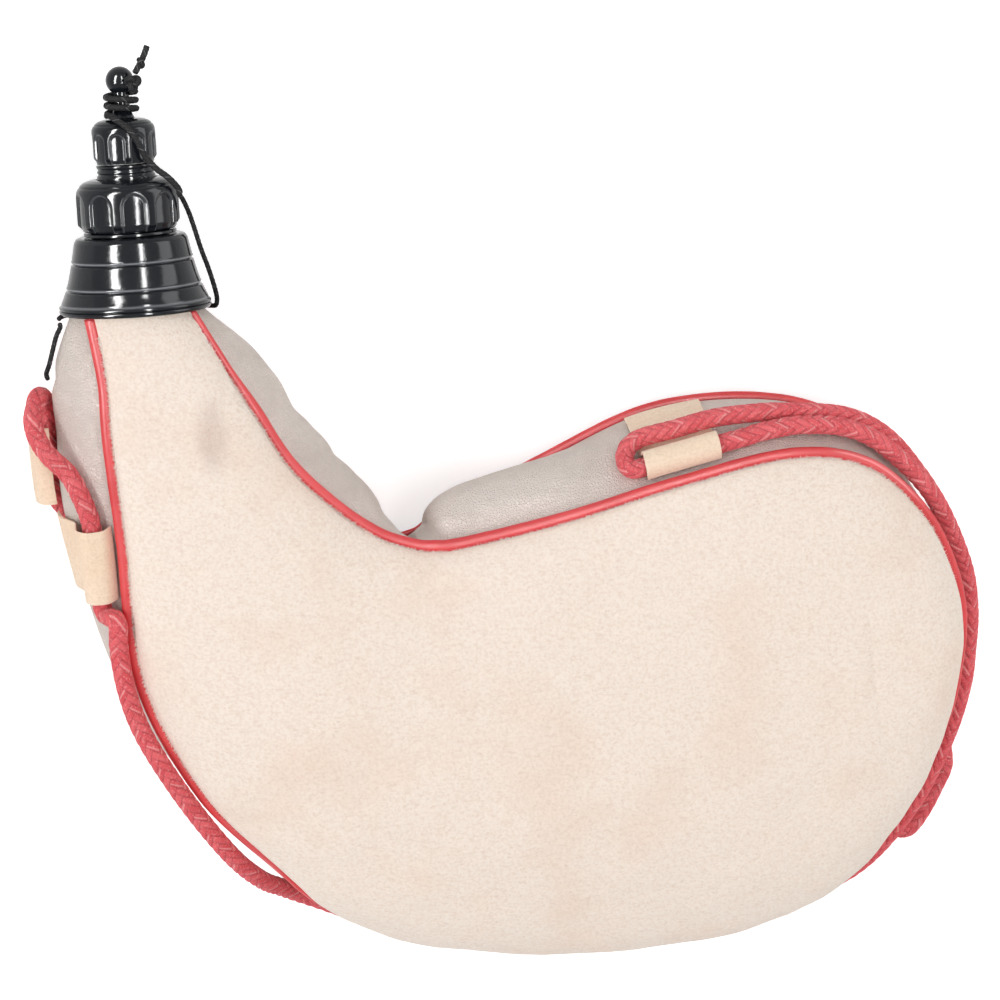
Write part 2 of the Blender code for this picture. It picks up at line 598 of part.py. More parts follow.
def make_panel(name, panel_point, angle_from, angle_to, finish):
    """A panel is lofted in rings that run beside its seam and meet at its crown line."""
    places = seam_places()
    end = PANEL_RINGS
    left = []
    right = []
    half = len(places) // 2
    for index in range(half + 1):
        left.append([panel_point(places[index], ring / end) for ring in range(end + 1)])
        mirror = places[len(places) - 1 - index]
        right.append([panel_point(mirror, ring / end) for ring in range(end + 1)])
    inset = PANEL_INSET / NECK_RADIUS
    centre = (angle_from + angle_to) / 2
    near_left = angle_from + inset * (1 if angle_to > angle_from else -1)
    near_right = angle_to - inset * (1 if angle_to > angle_from else -1)
    left = fold_rows(near_left, centre, end) + left
    right = fold_rows(near_right, centre, end) + right
    rows = [a + list(reversed(b))[1:] for a, b in zip(left, right)]
    made = grid_mesh(name, rows, finish)
    weld(made)
    thicken(made, PANEL_THICKNESS)
    return made


def make_gusset():
    """One long band between the seams, from the outer side of the neck round to its inner."""
    places = seam_places()
    inset = GUSSET_INSET / NECK_RADIUS
    top = NECK_SEAM_ANGLE + inset
    bottom = math.pi - NECK_SEAM_ANGLE - inset
    rows = fold_rows(-top, -bottom, GUSSET_BANDS)
    for place in places:
        rows.append([gusset_point(place, band / GUSSET_BANDS) for band in range(GUSSET_BANDS + 1)])
    rows += list(reversed(fold_rows(top, bottom, GUSSET_BANDS)))
    made = grid_mesh("gusset", rows, GRAIN_LEATHER)
    thicken(made, GUSSET_THICKNESS)
    return made


def on_plan(place):
    """World place of a point given from the plan's middle."""
    x, y, z = place
    return [x + PLAN_SHIFT_X, y + PLAN_SHIFT_Y, z]


def cord_points(route, spacing):
    """Points read off a smooth curve through a route, closer together where it turns."""
    points = [Vector(route[0])]
    heading = Vector(route[1]) - Vector(route[0])
    count = (len(route) - 1) * ROUTE_STEPS
    for index in range(1, count):
        point = Vector(catmull_rom(route, index / ROUTE_STEPS))
        onward = Vector(catmull_rom(route, (index + 1) / ROUTE_STEPS)) - point
        far = (point - points[-1]).length >= spacing
        if far or heading.angle(onward) >= CARRY_TURN:
            points.append(point)
            heading = onward
    points.append(Vector(route[-1]))
    return points


def least_gap(points, radius):
    """Least gap between a tube and itself, past the stretch where its own bend closes up."""
    gaps = []
    for i, first in enumerate(points):
        travelled = 0
        for j in range(i + 1, len(points)):
            travelled += (points[j] - points[j - 1]).length
            if travelled > math.pi * 2 * radius:
                gaps.append((points[j] - first).length - 2 * radius)
    return min(gaps)


def add_tube(name, points, radius, finish, resolution=2):
    curve = bpy.data.curves.new(name, "CURVE")
    curve.dimensions = "3D"
    curve.bevel_depth = radius
    curve.bevel_resolution = resolution
    curve.use_fill_caps = True
    spline = curve.splines.new("POLY")
    spline.points.add(len(points) - 1)
    for slot, point in zip(spline.points, points):
        slot.co = (*point, 1)
    curve.materials.append(finish)
    made = bpy.data.objects.new(name, curve)
    COLLECTION.objects.link(made)
    return made


def below_collar(seam, place, step, drop):
    """First place on a seam, stepping away from the collar, that lies a drop below its rim."""
    while (NECK_MATRIX.inverted() @ seam(place)).z > -drop:
        place += step
    return place


def make_piping(name, seam, drop):
    """Red piping round one seam, both ends stopping a drop below the collar's rim."""
    start = below_collar(seam, 0, SEAM_STEP, drop)
    finish = below_collar(seam, LAST_STATION, -SEAM_STEP, drop)
    places = [place for place in seam_places() if start < place < finish]
    points = [seam(place) for place in [start, *places[1:-1], finish]]
    return add_tube(name, points, PIPING_RADIUS, RED_VINYL)


def side_point(place):
    """Point of the gusset's middle line, at the front seam's height."""
    point = gusset_point(place, 0.5)
    point.z = front_seam(place).z
    return point


def room_to_tip(station):
    """How far a station's spine point lies from the bladder's end at the tip."""
    return front_seam(TIP_STATION).x - middle(front_seam, station).x - BLADDER_INSET


def bladder_ring(station):
    """Closed section of the bladder at a station, starting at its top side."""
    outer = side_point(station)
    inner = side_point(opposite(station))
    tip_distance = room_to_tip(station)
    closing = 1 - min(tip_distance / BLADDER_TIP_LENGTH, 1)
    taper = math.sqrt(1 - closing * closing)
    half = ((inner - outer).length / 2 - BLADDER_INSET) * math.sqrt(taper)
    seam_width = (front_seam(opposite(station)) - front_seam(station)).length
    top_half = (seam_width / 2 - BLADDER_INSET) * math.sqrt(taper)
    centre = (outer + inner) / 2
    crown = crown_height(min(station, crown_station(station))) - BLADDER_INSET
    across = (inner - outer).normalized()
    across.z = 0
    ring = []
    for index in range(BLADDER_SIDES):
        angle = 2 * math.pi * index / BLADDER_SIDES
        side = math.sin(angle)
        upright = math.cos(angle)
        seam_height = (outer.z + (inner.z - outer.z) * (side + 1) / 2 + BACK_SEAM_HEIGHT) / 2
        reach = crown - seam_height if upright > 0 else seam_height - BLADDER_INSET
        width = half + (top_half - half) * max(upright, 0)
        point = centre + across * (side * width)
        point.z = seam_height + reach * upright * taper
        ring.append(point)
    return ring


def make_bladder():
    """Latex bladder: one bag that is open only at the neck."""
    reduction = (PANEL_THICKNESS + BLADDER_THICKNESS) / 2 + 2 * CLEARANCE
    rows = []
    heights = [(share * COLLAR_HEIGHT, fold_radius(drawn_in))
               for share, drawn_in in reversed(NECK_FOLD_SHARES)]
    heights.append((0, NECK_RADIUS - BLADDER_NECK_INSET))
    for height, radius in heights:
        row = []
        for index in range(BLADDER_SIDES):
            angle = 2 * math.pi * index / BLADDER_SIDES
            row.append(neck_point(angle, radius - reduction, height))
        rows.append(row)
    inside = [station for station in range(1, TIP_STATION) if room_to_tip(station) > BLADDER_INSET / 2]
    rows += [bladder_ring(station) for station in inside]
    made = grid_mesh("bladder", rows, LATEX, closed=True)
    mesh = bmesh.new()
    mesh.from_mesh(made.data)
    mesh.verts.ensure_lookup_table()
    first = len(mesh.verts) - BLADDER_SIDES
    mesh.faces.new([mesh.verts[first + index] for index in range(BLADDER_SIDES)])
    bmesh.ops.recalc_face_normals(mesh, faces=mesh.faces)
    mesh.to_mesh(made.data)
    mesh.free()
    made.data.shade_smooth()
    thicken(made, BLADDER_THICKNESS)
    return made


def place_at(place, distance):
    """Place on the seam at a distance from another place, counted towards the inner neck."""
    step = math.copysign(SEAM_STEP, distance)
    travelled = 0
    point = front_seam(place)
    while travelled < abs(distance):
        place += step
        following = front_seam(place)
        stride = (following - point).length
        travelled += stride
        point = following
    return place - step * (travelled - abs(distance)) / stride


def make_keeper(name, centre, outline):
    """Leather loop stitched across the gusset, standing off it to let the carry cord through."""
    first = place_at(centre, -KEEPER_WIDTH / 2)
    last = place_at(centre, KEEPER_WIDTH / 2)
    rest = (GUSSET_THICKNESS + KEEPER_THICKNESS) / 2 + 2 * CLEARANCE
    rows = []
    for column in range(KEEPER_COLUMNS + 1):
        place = first + (last - first) * column / KEEPER_COLUMNS
        rows.append([above_gusset(place, share, rest + rise * KEEPER_STAND_OFF)
                     for share, rise in outline])
    made = grid_mesh(name, rows, TAN_LEATHER)
    thicken(made, KEEPER_THICKNESS)
    return made


def turned(name, profile, finish, parent, collection=COLLECTION):
    """Turned piece from a closed profile of (radius, height) points."""
    mesh = bpy.data.meshes.new(name)
    open_ended = profile[0][0] == 0 and profile[-1][0] == 0
    count = len(profile)
    edges = [(index, (index + 1) % count) for index in range(count - 1 if open_ended else count)]
    mesh.from_pydata([(radius, 0, height) for radius, height in profile], edges, [])
    mesh.materials.append(finish)
    made = bpy.data.objects.new(name, mesh)
    collection.objects.link(made)
    made.parent = parent
    screw = made.modifiers.new("turn", "SCREW")
    screw.axis = "Z"
    screw.steps = TURNED_STEPS
    screw.render_steps = TURNED_STEPS
    screw.use_merge_vertices = True
    screw.merge_threshold = POINT_WELD
    return made


def add_empty(name, matrix):
    made = bpy.data.objects.new(name, None)
    made.matrix_world = matrix
    COLLECTION.objects.link(made)
    return made


def hide_cutter(made):
    made.hide_render = True
    made.display_type = "WIRE"


def as_mesh(made, name, collection, parent):
    """Turn a curve object into a welded mesh object that stands in its place."""
    graph = bpy.context.evaluated_depsgraph_get()
    mesh = bpy.data.meshes.new_from_object(made.evaluated_get(graph))
    fresh = bpy.data.objects.new(name, mesh)
    fresh.matrix_world = made.matrix_world
    collection.objects.link(fresh)
    bpy.data.objects.remove(made, do_unlink=True)
    shape = bmesh.new()
    shape.from_mesh(mesh)
    bmesh.ops.remove_doubles(shape, verts=shape.verts, dist=POINT_WELD)
    shape.to_mesh(mesh)
    shape.free()
    fresh.parent = parent
    return fresh


def boolean(target, tool, operation):
    cut = target.modifiers.new(operation.lower(), "BOOLEAN")
    cut.operation = operation
    cut.solver = "EXACT"
    cut.object = tool


def add_thread(target, core_radius, ridge, pitch, turns, bottom):
    """Raised helical thread round a turned core."""
    points = []
    count = int(turns * THREAD_POINTS)
    for index in range(count + 1):
        angle = 2 * math.pi * index / THREAD_POINTS
        height = bottom + pitch * index / THREAD_POINTS
        points.append((core_radius * math.cos(angle), core_radius * math.sin(angle), height))
    tube = add_tube(target.name + "_ridge", points, ridge, BLACK_PLASTIC, 1)
    tool = as_mesh(tube, target.name + "_thread", CUTTERS, target.parent)
    hide_cutter(tool)
    boolean(target, tool, "UNION")


def add_flutes(target, count, radius, bottom, top, width):
    """Arched recesses round a turned cap, cut by copies of one arched block."""
    curve = bpy.data.curves.new(target.name + "_arch", "CURVE")
    curve.dimensions = "2D"
    curve.fill_mode = "BOTH"
    curve.extrude = FLUTE_DEPTH
    spline = curve.splines.new("POLY")
    outline = [(-width / 2, bottom), (width / 2, bottom)]
    for index in range(FLUTE_ARCH_POINTS + 1):
        angle = math.pi * index / FLUTE_ARCH_POINTS
        outline.append((width / 2 * math.cos(angle), top - width / 2 * (1 - math.sin(angle))))
    spline.points.add(len(outline) - 1)
    for slot, (across, height) in zip(spline.points, outline):
        slot.co = (across, height, 0, 1)
    spline.use_cyclic_u = True
    block = bpy.data.objects.new(target.name + "_arch", curve)
    COLLECTION.objects.link(block)
    tool = as_mesh(block, target.name + "_flutes", CUTTERS, target.parent)
    shape = bmesh.new()
    shape.from_mesh(tool.data)
    upright = Matrix.Translation((0, -radius, 0)) @ Matrix.Rotation(math.pi / 2, 4, "X")
    bmesh.ops.transform(shape, matrix=upright, verts=shape.verts)
    single = list(shape.verts) + list(shape.edges) + list(shape.faces)
    for index in range(1, count):
        copy = bmesh.ops.duplicate(shape, geom=single)["geom"]
        verts = [item for item in copy if isinstance(item, bmesh.types.BMVert)]
        turn = Matrix.Rotation(2 * math.pi * index / count, 4, "Z")
        bmesh.ops.transform(shape, matrix=turn, verts=verts)
    shape.to_mesh(tool.data)
    shape.free()
    hide_cutter(tool)
    boolean(target, tool, "DIFFERENCE")


def grooves(radius_at, heights):
    """Profile points, from the top down, of V-bottomed grooves in an outer wall."""
    points = []
    for height in heights:
        for offset, depth in ((0.5, 0), (0.25, 1), (-0.25, 1), (-0.5, 0)):
            level = height + offset * GROOVE_WIDTH
            points.append((radius_at(level) - depth * GROOVE_DEPTH, level))
    return points


def collar_radius(height):
    """Outer radius of the bell at a height above its rim."""
    share = max(height - COLLAR_BEAD_HEIGHT, 0) / (COLLAR_HEIGHT - COLLAR_BEAD_HEIGHT)
    spread = COLLAR_BASE_RADIUS - COLLAR_LIP - COLLAR_TOP_RADIUS
    flare = (1 - COLLAR_FLARE_SHARE) * (1 - share) + COLLAR_FLARE_SHARE * (1 - share) ** 4
    return COLLAR_TOP_RADIUS + spread * flare


def make_collar(parent):
    top = COLLAR_HEIGHT
    hole = INSERT_RADIUS + CLEARANCE
    bead = COLLAR_BASE_RADIUS
    outer = [(hole, top), (COLLAR_TOP_RADIUS - COLLAR_SHOULDER, top)]
    edge = COLLAR_SHOULDER * COLLAR_EDGE_SHARE
    outer.append((COLLAR_TOP_RADIUS - edge, top - edge))
    outer.append((collar_radius(top - COLLAR_SHOULDER), top - COLLAR_SHOULDER))
    outer += grooves(collar_radius, [share * top for share in COLLAR_GROOVE_SHARES])
    step = COLLAR_BEAD_HEIGHT * COLLAR_STEP_SHARE
    outer.append((collar_radius(step), step))
    outer.append((bead - COLLAR_LIP, COLLAR_BEAD_HEIGHT))
    outer += [(bead, COLLAR_REST), (bead, COLLAR_BEAD_HEIGHT - COLLAR_REST)]
    outer.append((bead - COLLAR_LIP, 0))
    inner = [(bead - COLLAR_BASE_WALL, 0)]
    for share in COLLAR_INNER_SHARES:
        height = share * top
        wall = COLLAR_BASE_WALL + (COLLAR_TOP_WALL - COLLAR_BASE_WALL) * share
        inner.append((collar_radius(height) - wall, height))
    inner.append((hole, top - COLLAR_TOP_WALL))
    return turned("neck_collar", outer + inner, BLACK_PLASTIC, parent)


def make_insert(parent):
    """Tube that the leather and bladder are clamped round, with the thread for the nut."""
    low = COLLAR_HEIGHT + CLEARANCE
    high = low + INSERT_FLANGE_THICKNESS
    profile = [(INSERT_BORE_RADIUS, INSERT_TOP), (INSERT_RADIUS, INSERT_TOP)]
    profile += [(INSERT_RADIUS, high), (INSERT_FLANGE_RADIUS, high), (INSERT_FLANGE_RADIUS, low)]
    profile += [(INSERT_RADIUS, low), (INSERT_RADIUS, INSERT_BOTTOM)]
    profile += [(INSERT_BORE_RADIUS, INSERT_BOTTOM)]
    made = turned("neck_insert", profile, BLACK_PLASTIC, parent)
    bottom = high + THREAD_RIDGE + CLEARANCE
    add_thread(made, INSERT_RADIUS, THREAD_RIDGE, NUT_PITCH, NUT_THREAD_TURNS, bottom)
    return made


def make_binding(parent):
    """Waxed twine band that ties the leather neck onto the insert."""
    inside = CLAMP_RADIUS + PANEL_THICKNESS / 2 + CLEARANCE
    outside = inside + BINDING_THICKNESS
    low = BINDING_SHARE * COLLAR_HEIGHT
    high = low + BINDING_WIDTH
    edge = BINDING_THICKNESS * BINDING_EDGE_SHARE
    profile = [(inside, high), (outside - edge, high), (outside, high - edge)]
    profile += [(outside, low + edge), (outside - edge, low), (inside, low)]
    return turned("neck_binding", profile, TWINE, parent)


def make_gasket(parent):
    inside = INSERT_BORE_RADIUS + CLEARANCE
    top = GASKET_BOTTOM + GASKET_THICKNESS
    profile = [(inside, top), (INSERT_RADIUS, top), (INSERT_RADIUS, GASKET_BOTTOM)]
    profile.append((inside, GASKET_BOTTOM))
    return turned("spout_gasket", profile, SEAL_RUBBER, parent)


def dome(radius, start, top, hole):
    """Profile points of a rounded dome with a step line, from its centre out and down."""
    points = []
    for across, up in reversed(DOME_SHARES):
        points.append((hole + (radius - hole) * across, start + (top - start) * up))
    return points


def make_nut(parent):
    """Fluted nut that clamps the spout onto the insert."""
    hole = SPOUT_RADIUS + RUNNING_GAP
    start = NUT_TOP - NUT_DOME_HEIGHT
    profile = dome(NUT_RADIUS, start, NUT_TOP, hole)
    edge = GROOVE_DEPTH
    profile += [(NUT_RADIUS, NUT_BOTTOM + edge), (NUT_RADIUS - edge, NUT_BOTTOM)]
    profile += [(NUT_BORE_RADIUS, NUT_BOTTOM), (NUT_BORE_RADIUS, NUT_CEILING), (hole, NUT_CEILING)]
    made = turned("spout_nut", profile, BLACK_PLASTIC, parent)
    bottom = NUT_BOTTOM + FLUTE_RIM
    add_flutes(made, NUT_FLUTES, NUT_RADIUS, bottom, start, NUT_FLUTE_WIDTH)
    return made


def make_spout(parent):
    """Flanged spout with a fine jet bore and a thread for the small cap."""
    chamfer = SPOUT_TIP_RADIUS * SPOUT_CHAMFER_SHARE
    cone_top = SPOUT_THREAD_TOP
    profile = [(SPOUT_JET_RADIUS, SPOUT_TIP), (SPOUT_TIP_RADIUS - chamfer, SPOUT_TIP)]
    profile += [(SPOUT_TIP_RADIUS, SPOUT_TIP - chamfer), (SPOUT_CONE_RADIUS, cone_top)]
    profile += [(SPOUT_THREAD_RADIUS, cone_top - chamfer), (SPOUT_THREAD_RADIUS, SPOUT_SHOULDER)]
    profile.append((SPOUT_RADIUS, SPOUT_SHOULDER))
    spacing = (SPOUT_SHOULDER - NUT_TOP) / 3
    profile += grooves(lambda level: SPOUT_RADIUS, [NUT_TOP + 2 * spacing, NUT_TOP + spacing])
    profile += [(SPOUT_RADIUS, FLANGE_TOP), (FLANGE_RADIUS, FLANGE_TOP)]
    profile += [(FLANGE_RADIUS, FLANGE_BOTTOM), (SPOUT_WELL_RADIUS, FLANGE_BOTTOM)]
    profile += [(SPOUT_WELL_RADIUS, NUT_TOP), (SPOUT_JET_RADIUS, SPOUT_SHOULDER + CAP_PITCH)]
    made = turned("spout", profile, BLACK_PLASTIC, parent)
    bottom = SPOUT_SHOULDER + CAP_THREAD_RIDGE + CLEARANCE + SEAL_THICKNESS
    add_thread(made, SPOUT_THREAD_RADIUS, CAP_THREAD_RIDGE, CAP_PITCH, CAP_THREAD_TURNS, bottom)
    return made


def make_cap_seal(parent):
    top = SEAL_BOTTOM + SEAL_THICKNESS
    profile = [(CAP_BORE_RADIUS, top), (SEAL_RADIUS, top), (SEAL_RADIUS, SEAL_BOTTOM)]
    profile.append((CAP_BORE_RADIUS, SEAL_BOTTOM))
    return turned("cap_seal", profile, SEAL_RUBBER, parent)


def make_cap(parent):
    """Small fluted cap with a stem and ball knob, closed over the spout's tip."""
    profile = []
    lowest = math.pi - math.asin(STEM_RADIUS / BALL_RADIUS)
    for index in range(BALL_POINTS + 1):
        angle = lowest * index / BALL_POINTS
        radius = BALL_RADIUS * math.sin(angle) if index else 0
        profile.append((radius, BALL_CENTRE + BALL_RADIUS * math.cos(angle)))
    profile += [(STEM_RADIUS, STEM_BOTTOM), (STEM_RADIUS + STEM_FLARE / 2, CAP_TOP + STEM_FLARE)]
    profile += dome(CAP_RADIUS, CAP_DOME_START, CAP_TOP, STEM_RADIUS + STEM_FLARE)
    edge = GROOVE_DEPTH
    profile += [(CAP_RADIUS, CAP_BOTTOM + edge), (CAP_RADIUS - edge / 2, CAP_BOTTOM)]
    recess = SEAL_RADIUS + RUNNING_GAP
    profile += [(recess, CAP_BOTTOM), (recess, SEAL_RECESS_TOP)]
    profile += [(CAP_BORE_RADIUS, SEAL_RECESS_TOP), (CAP_BORE_RADIUS, SPOUT_THREAD_TOP + CAP_WALL / 2)]
    tip_bore = SPOUT_CONE_RADIUS
    profile += [(tip_bore, SPOUT_TIP + CLEARANCE), (0, SPOUT_TIP + CLEARANCE)]
    made = turned("cap", profile, BLACK_PLASTIC, parent)
    bottom = CAP_BOTTOM + FLUTE_RIM
    add_flutes(made, CAP_FLUTES, CAP_RADIUS, bottom, CAP_DOME_START - GROOVE_WIDTH, CAP_FLUTE_WIDTH)
    return made


def neck_local(angle, radius, height):
    """Place in the neck's own frame, the angle in degrees from its top side."""
    turn = math.radians(angle)
    return Vector((radius * math.sin(turn), -radius * math.cos(turn), height))


def make_knot(name, place, radius, finish, parent=None):
    made = add_mesh(name, [], [], finish)
    shape = bmesh.new()
    bmesh.ops.create_uvsphere(shape, u_segments=KNOT_SEGMENTS, v_segments=KNOT_RINGS,
                              radius=radius)
    shape.to_mesh(made.data)
    shape.free()
    made.data.shade_smooth()
    made.location = place
    made.parent = parent
    return made


def make_tether_upper(parent):
    """Tether from beside the nut over the small cap and round its stem."""
    route = [list(neck_local(*place)) for place in TETHER_UPPER_ROUTE]
    points = cord_points(route, TETHER_SPACING)
    count = int(TETHER_WRAP_TURNS * TETHER_WRAP_POINTS)
    for index in range(count + 1):
        turns = index / TETHER_WRAP_POINTS
        height = TETHER_WRAP_BOTTOM + turns * TETHER_WRAP_PITCH
        angle = TETHER_WRAP_START - math.degrees(turns * 2 * math.pi)
        points.append(neck_local(angle, TETHER_WRAP_RADIUS, height))
    print("least gap of the tether to itself, m:", round(least_gap(points, TETHER_RADIUS), 5))
    made = add_tube("tether_upper", points, TETHER_RADIUS, BLACK_CORD)
    made.parent = parent
    return made


def make_tether_tail(parent):
    """Short tail beyond the knot, thickened where its own end is knotted."""
    points = [neck_local(*place) for place in TETHER_TAIL_ROUTE]
    made = add_tube("tether_tail", points, TETHER_RADIUS, BLACK_CORD)
    for slot, share in zip(made.data.splines[0].points, TETHER_TAIL_KNOT_SHARES):
        slot.radius = share
    made.parent = parent
    return made


def make_tether_lower(parent):
    """Tether down the side of the neck and behind it under the collar's rim."""
    route = [list(neck_local(*place)) for place in TETHER_LOWER_ROUTE]
    for index in range(TETHER_LOOP_POINTS + 1):
        angle = TETHER_LOOP_START + TETHER_LOOP_SWEEP * index / TETHER_LOOP_POINTS
        swell = TETHER_LOOP_SWELL * max(math.sin(math.radians(angle)), 0) ** 2
        route.append(list(neck_local(angle, TETHER_LOOP_RADIUS + swell, -LOOP_DROP)))
    points = cord_points(route, TETHER_SPACING)
    made = add_tube("tether_lower", points, TETHER_LOWER_RADIUS, BLACK_CORD)
    made.parent = parent
    return made


def make_tether_end(parent):
    """Loose end of the tether that hangs beside the neck."""
    route = [list(neck_local(*place)) for place in TETHER_END_ROUTE]
    points = cord_points(route, TETHER_SPACING)
    made = add_tube("tether_loose_end", points, TETHER_LOWER_RADIUS, BLACK_CORD)
    made.parent = parent
    return made


clear_scene()
make_panel("front_panel", front_panel_point, -NECK_SEAM_ANGLE, NECK_SEAM_ANGLE, SUEDE)
make_panel("back_panel", back_panel_point, -math.pi + NECK_SEAM_ANGLE,
           -math.pi - NECK_SEAM_ANGLE, GRAIN_LEATHER)
make_gusset()
make_piping("front_piping", front_seam, PIPING_DROP)
make_piping("back_piping", back_seam, PIPING_DROP + LOOP_DROP + TETHER_LOWER_RADIUS)
make_bladder()
make_keeper("keeper_top", KEEPER_TOP_PLACE, KEEPER_TOP_SHARES)
make_keeper("keeper_left", KEEPER_LEFT_PLACE, KEEPER_SHARES)
make_keeper("keeper_neck", KEEPER_NECK_PLACE, KEEPER_NECK_SHARES)
neck_axis = add_empty("neck_axis", NECK_MATRIX)
make_collar(neck_axis)
make_insert(neck_axis)
make_binding(neck_axis)
make_gasket(neck_axis)
make_spout(neck_axis)
make_nut(neck_axis)
make_cap_seal(neck_axis)
make_cap(neck_axis)
make_tether_upper(neck_axis)
make_knot("tether_knot", neck_local(*TETHER_KNOT_PLACE), TETHER_KNOT_RADIUS, BLACK_CORD, neck_axis)
make_tether_tail(neck_axis)
make_tether_lower(neck_axis)
make_tether_end(neck_axis)
carry_route = [on_plan(place) for place in CARRY_ROUTE]
add_tube("carry_cord", cord_points(carry_route, CARRY_SPACING), CARRY_RADIUS, RED_CORD)
make_knot("carry_cord_knot", on_plan(CARRY_KNOT_PLACE), CARRY_KNOT_RADIUS, RED_CORD)
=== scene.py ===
"""Leather bota bag: the visible model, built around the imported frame. Lengths are in metres.

The bag lies on its back. +Z points out of the suede front, +Y towards the neck, +X towards
the rounded tip.
"""
import math

import bmesh
import bpy
import numpy as np
from mathutils import Matrix, Vector


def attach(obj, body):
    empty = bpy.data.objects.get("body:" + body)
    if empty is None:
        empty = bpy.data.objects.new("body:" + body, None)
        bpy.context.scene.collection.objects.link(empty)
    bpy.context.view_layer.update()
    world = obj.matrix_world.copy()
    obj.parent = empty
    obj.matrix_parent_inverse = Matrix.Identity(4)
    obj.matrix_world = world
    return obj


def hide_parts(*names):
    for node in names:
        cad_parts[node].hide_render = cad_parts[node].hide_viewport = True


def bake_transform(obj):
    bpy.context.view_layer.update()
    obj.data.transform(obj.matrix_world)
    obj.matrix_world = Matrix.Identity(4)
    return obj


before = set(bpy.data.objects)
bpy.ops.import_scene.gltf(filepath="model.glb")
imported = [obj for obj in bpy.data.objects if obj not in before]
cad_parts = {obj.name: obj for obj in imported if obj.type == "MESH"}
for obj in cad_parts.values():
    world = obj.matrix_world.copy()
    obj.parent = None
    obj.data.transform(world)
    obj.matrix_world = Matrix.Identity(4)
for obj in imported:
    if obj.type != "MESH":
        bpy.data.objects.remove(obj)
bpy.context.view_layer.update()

# Leather body
PANEL_WIDTH = 0.264
PANEL_LENGTH = 0.220
FRONT_SEAM_HEIGHT = 0.046
BACK_SEAM_HEIGHT = 0.008
CROWN_HEIGHT = 0.060
GUSSET_BULGE = 0.0145
BACK_DRIFT = 0.010
EDGE_ROLL = 0.034
EDGE_ROLL_POWER_SHARE = 1.3
PLAN_SHIFT_X = 0.0088
PLAN_SHIFT_Y = 0.0012
PANEL_THICKNESS = 0.0018
GUSSET_THICKNESS = 0.0014
BLADDER_THICKNESS = 0.0010
BLADDER_INSET = 0.0075
BLADDER_NECK_INSET = 0.0032
PIPING_RADIUS = 0.0018
SUEDE_BESIDE = 0.0015
SUEDE_ABOVE = 0.0010
SUEDE_INSET = 0.0012
FUZZ_BESIDE = 0.0010
FUZZ_DEPTH = 0.0005
FUZZ_START = 0.35
FUZZ_PLACES = 1500
FUZZ_SIZES = {"Fibres per square metre": 2.6e7, "Fibre length": 0.0010, "Fibre width": 0.00010,
              "Spread": 0.8}
FUZZ_GROWTH = (0.45, 1.35)
CLEARANCE = 0.0003
FLOOR_CLEARANCE = 0.0003

# Seam stations and section shares, as in the solids
SEAM_SHARES = [
    (0.001, 0.928, 0.85, 0.72, -0.30, 0.00),
    (0.003, 0.849, 0.91, 0.79, -0.40, 0.00),
    (0.014, 0.707, 0.93, 0.79, -0.40, 0.00),
    (0.030, 0.500, 0.91, 0.42, 0.00, 0.00),
    (0.095, 0.325, 0.87, 0.22, 0.00, 0.00),
    (0.178, 0.207, 0.83, 0.28, 0.00, 0.00),
    (0.256, 0.113, 0.73, 0.25, 0.00, 0.00),
    (0.371, 0.049, 0.59, 0.14, 0.00, 0.00),
    (0.553, 0.014, 0.54, 0.12, 0.00, 0.00),
    (0.735, 0.023, 0.57, 0.12, 0.00, 0.00),
    (0.866, 0.087, 0.67, 0.16, 0.00, 0.00),
    (0.943, 0.205, 0.78, 0.24, 0.00, 0.00),
    (0.986, 0.337, 0.85, 0.20, 0.00, 0.00),
    (0.998, 0.422, 0.87, 0.12, 0.00, 0.00),
    (1.000, 0.495, 0.87, 0.09, 0.00, 0.00),
    (0.986, 0.568, 0.87, 0.09, 0.00, 0.00),
    (0.949, 0.656, 0.89, 0.12, 0.00, 0.00),
    (0.878, 0.738, 0.93, 0.22, 0.00, 0.20),
    (0.783, 0.765, 0.98, 0.26, 0.00, 0.50),
    (0.650, 0.738, 1.00, 0.14, 0.00, 1.00),
    (0.516, 0.698, 1.00, 0.42, 0.00, 0.40),
    (0.400, 0.671, 0.98, 0.50, 0.00, -0.50),
    (0.367, 0.668, 0.96, 0.20, 0.00, -0.90),
    (0.341, 0.674, 0.96, 0.10, 0.00, -1.10),
    (0.300, 0.696, 0.96, 0.48, 0.00, -0.50),
    (0.251, 0.743, 0.96, 0.62, 0.00, 0.00),
    (0.205, 0.803, 0.96, 0.68, 0.00, 0.00),
    (0.167, 0.880, 0.93, 0.66, 0.00, 0.00),
    (0.139, 0.937, 0.87, 0.56, 0.00, 0.00),
]
CROWN_SHARES = [0.60, 0.77, 0.84, 0.90, 0.95, 0.98, 1.00, 1.00, 1.00, 1.00, 0.99, 0.97, 0.94]
CROWN_END_SHARE = 0.77
PANEL_RISE_SHARE = 0.55
PANEL_FLAT_SHARE = 0.58
BACK_FLAT_SHARE = 0.36
NECK_BLEND_STATIONS = 2.0
BLADDER_TIP_LENGTH = 0.045
BLADDER_END_STATION = 13
SEAM_STEP = 0.01
NECK_FOLD_SHARES = [(0.15, 0.40), (0.40, 1.0), (0.68, 1.0)]

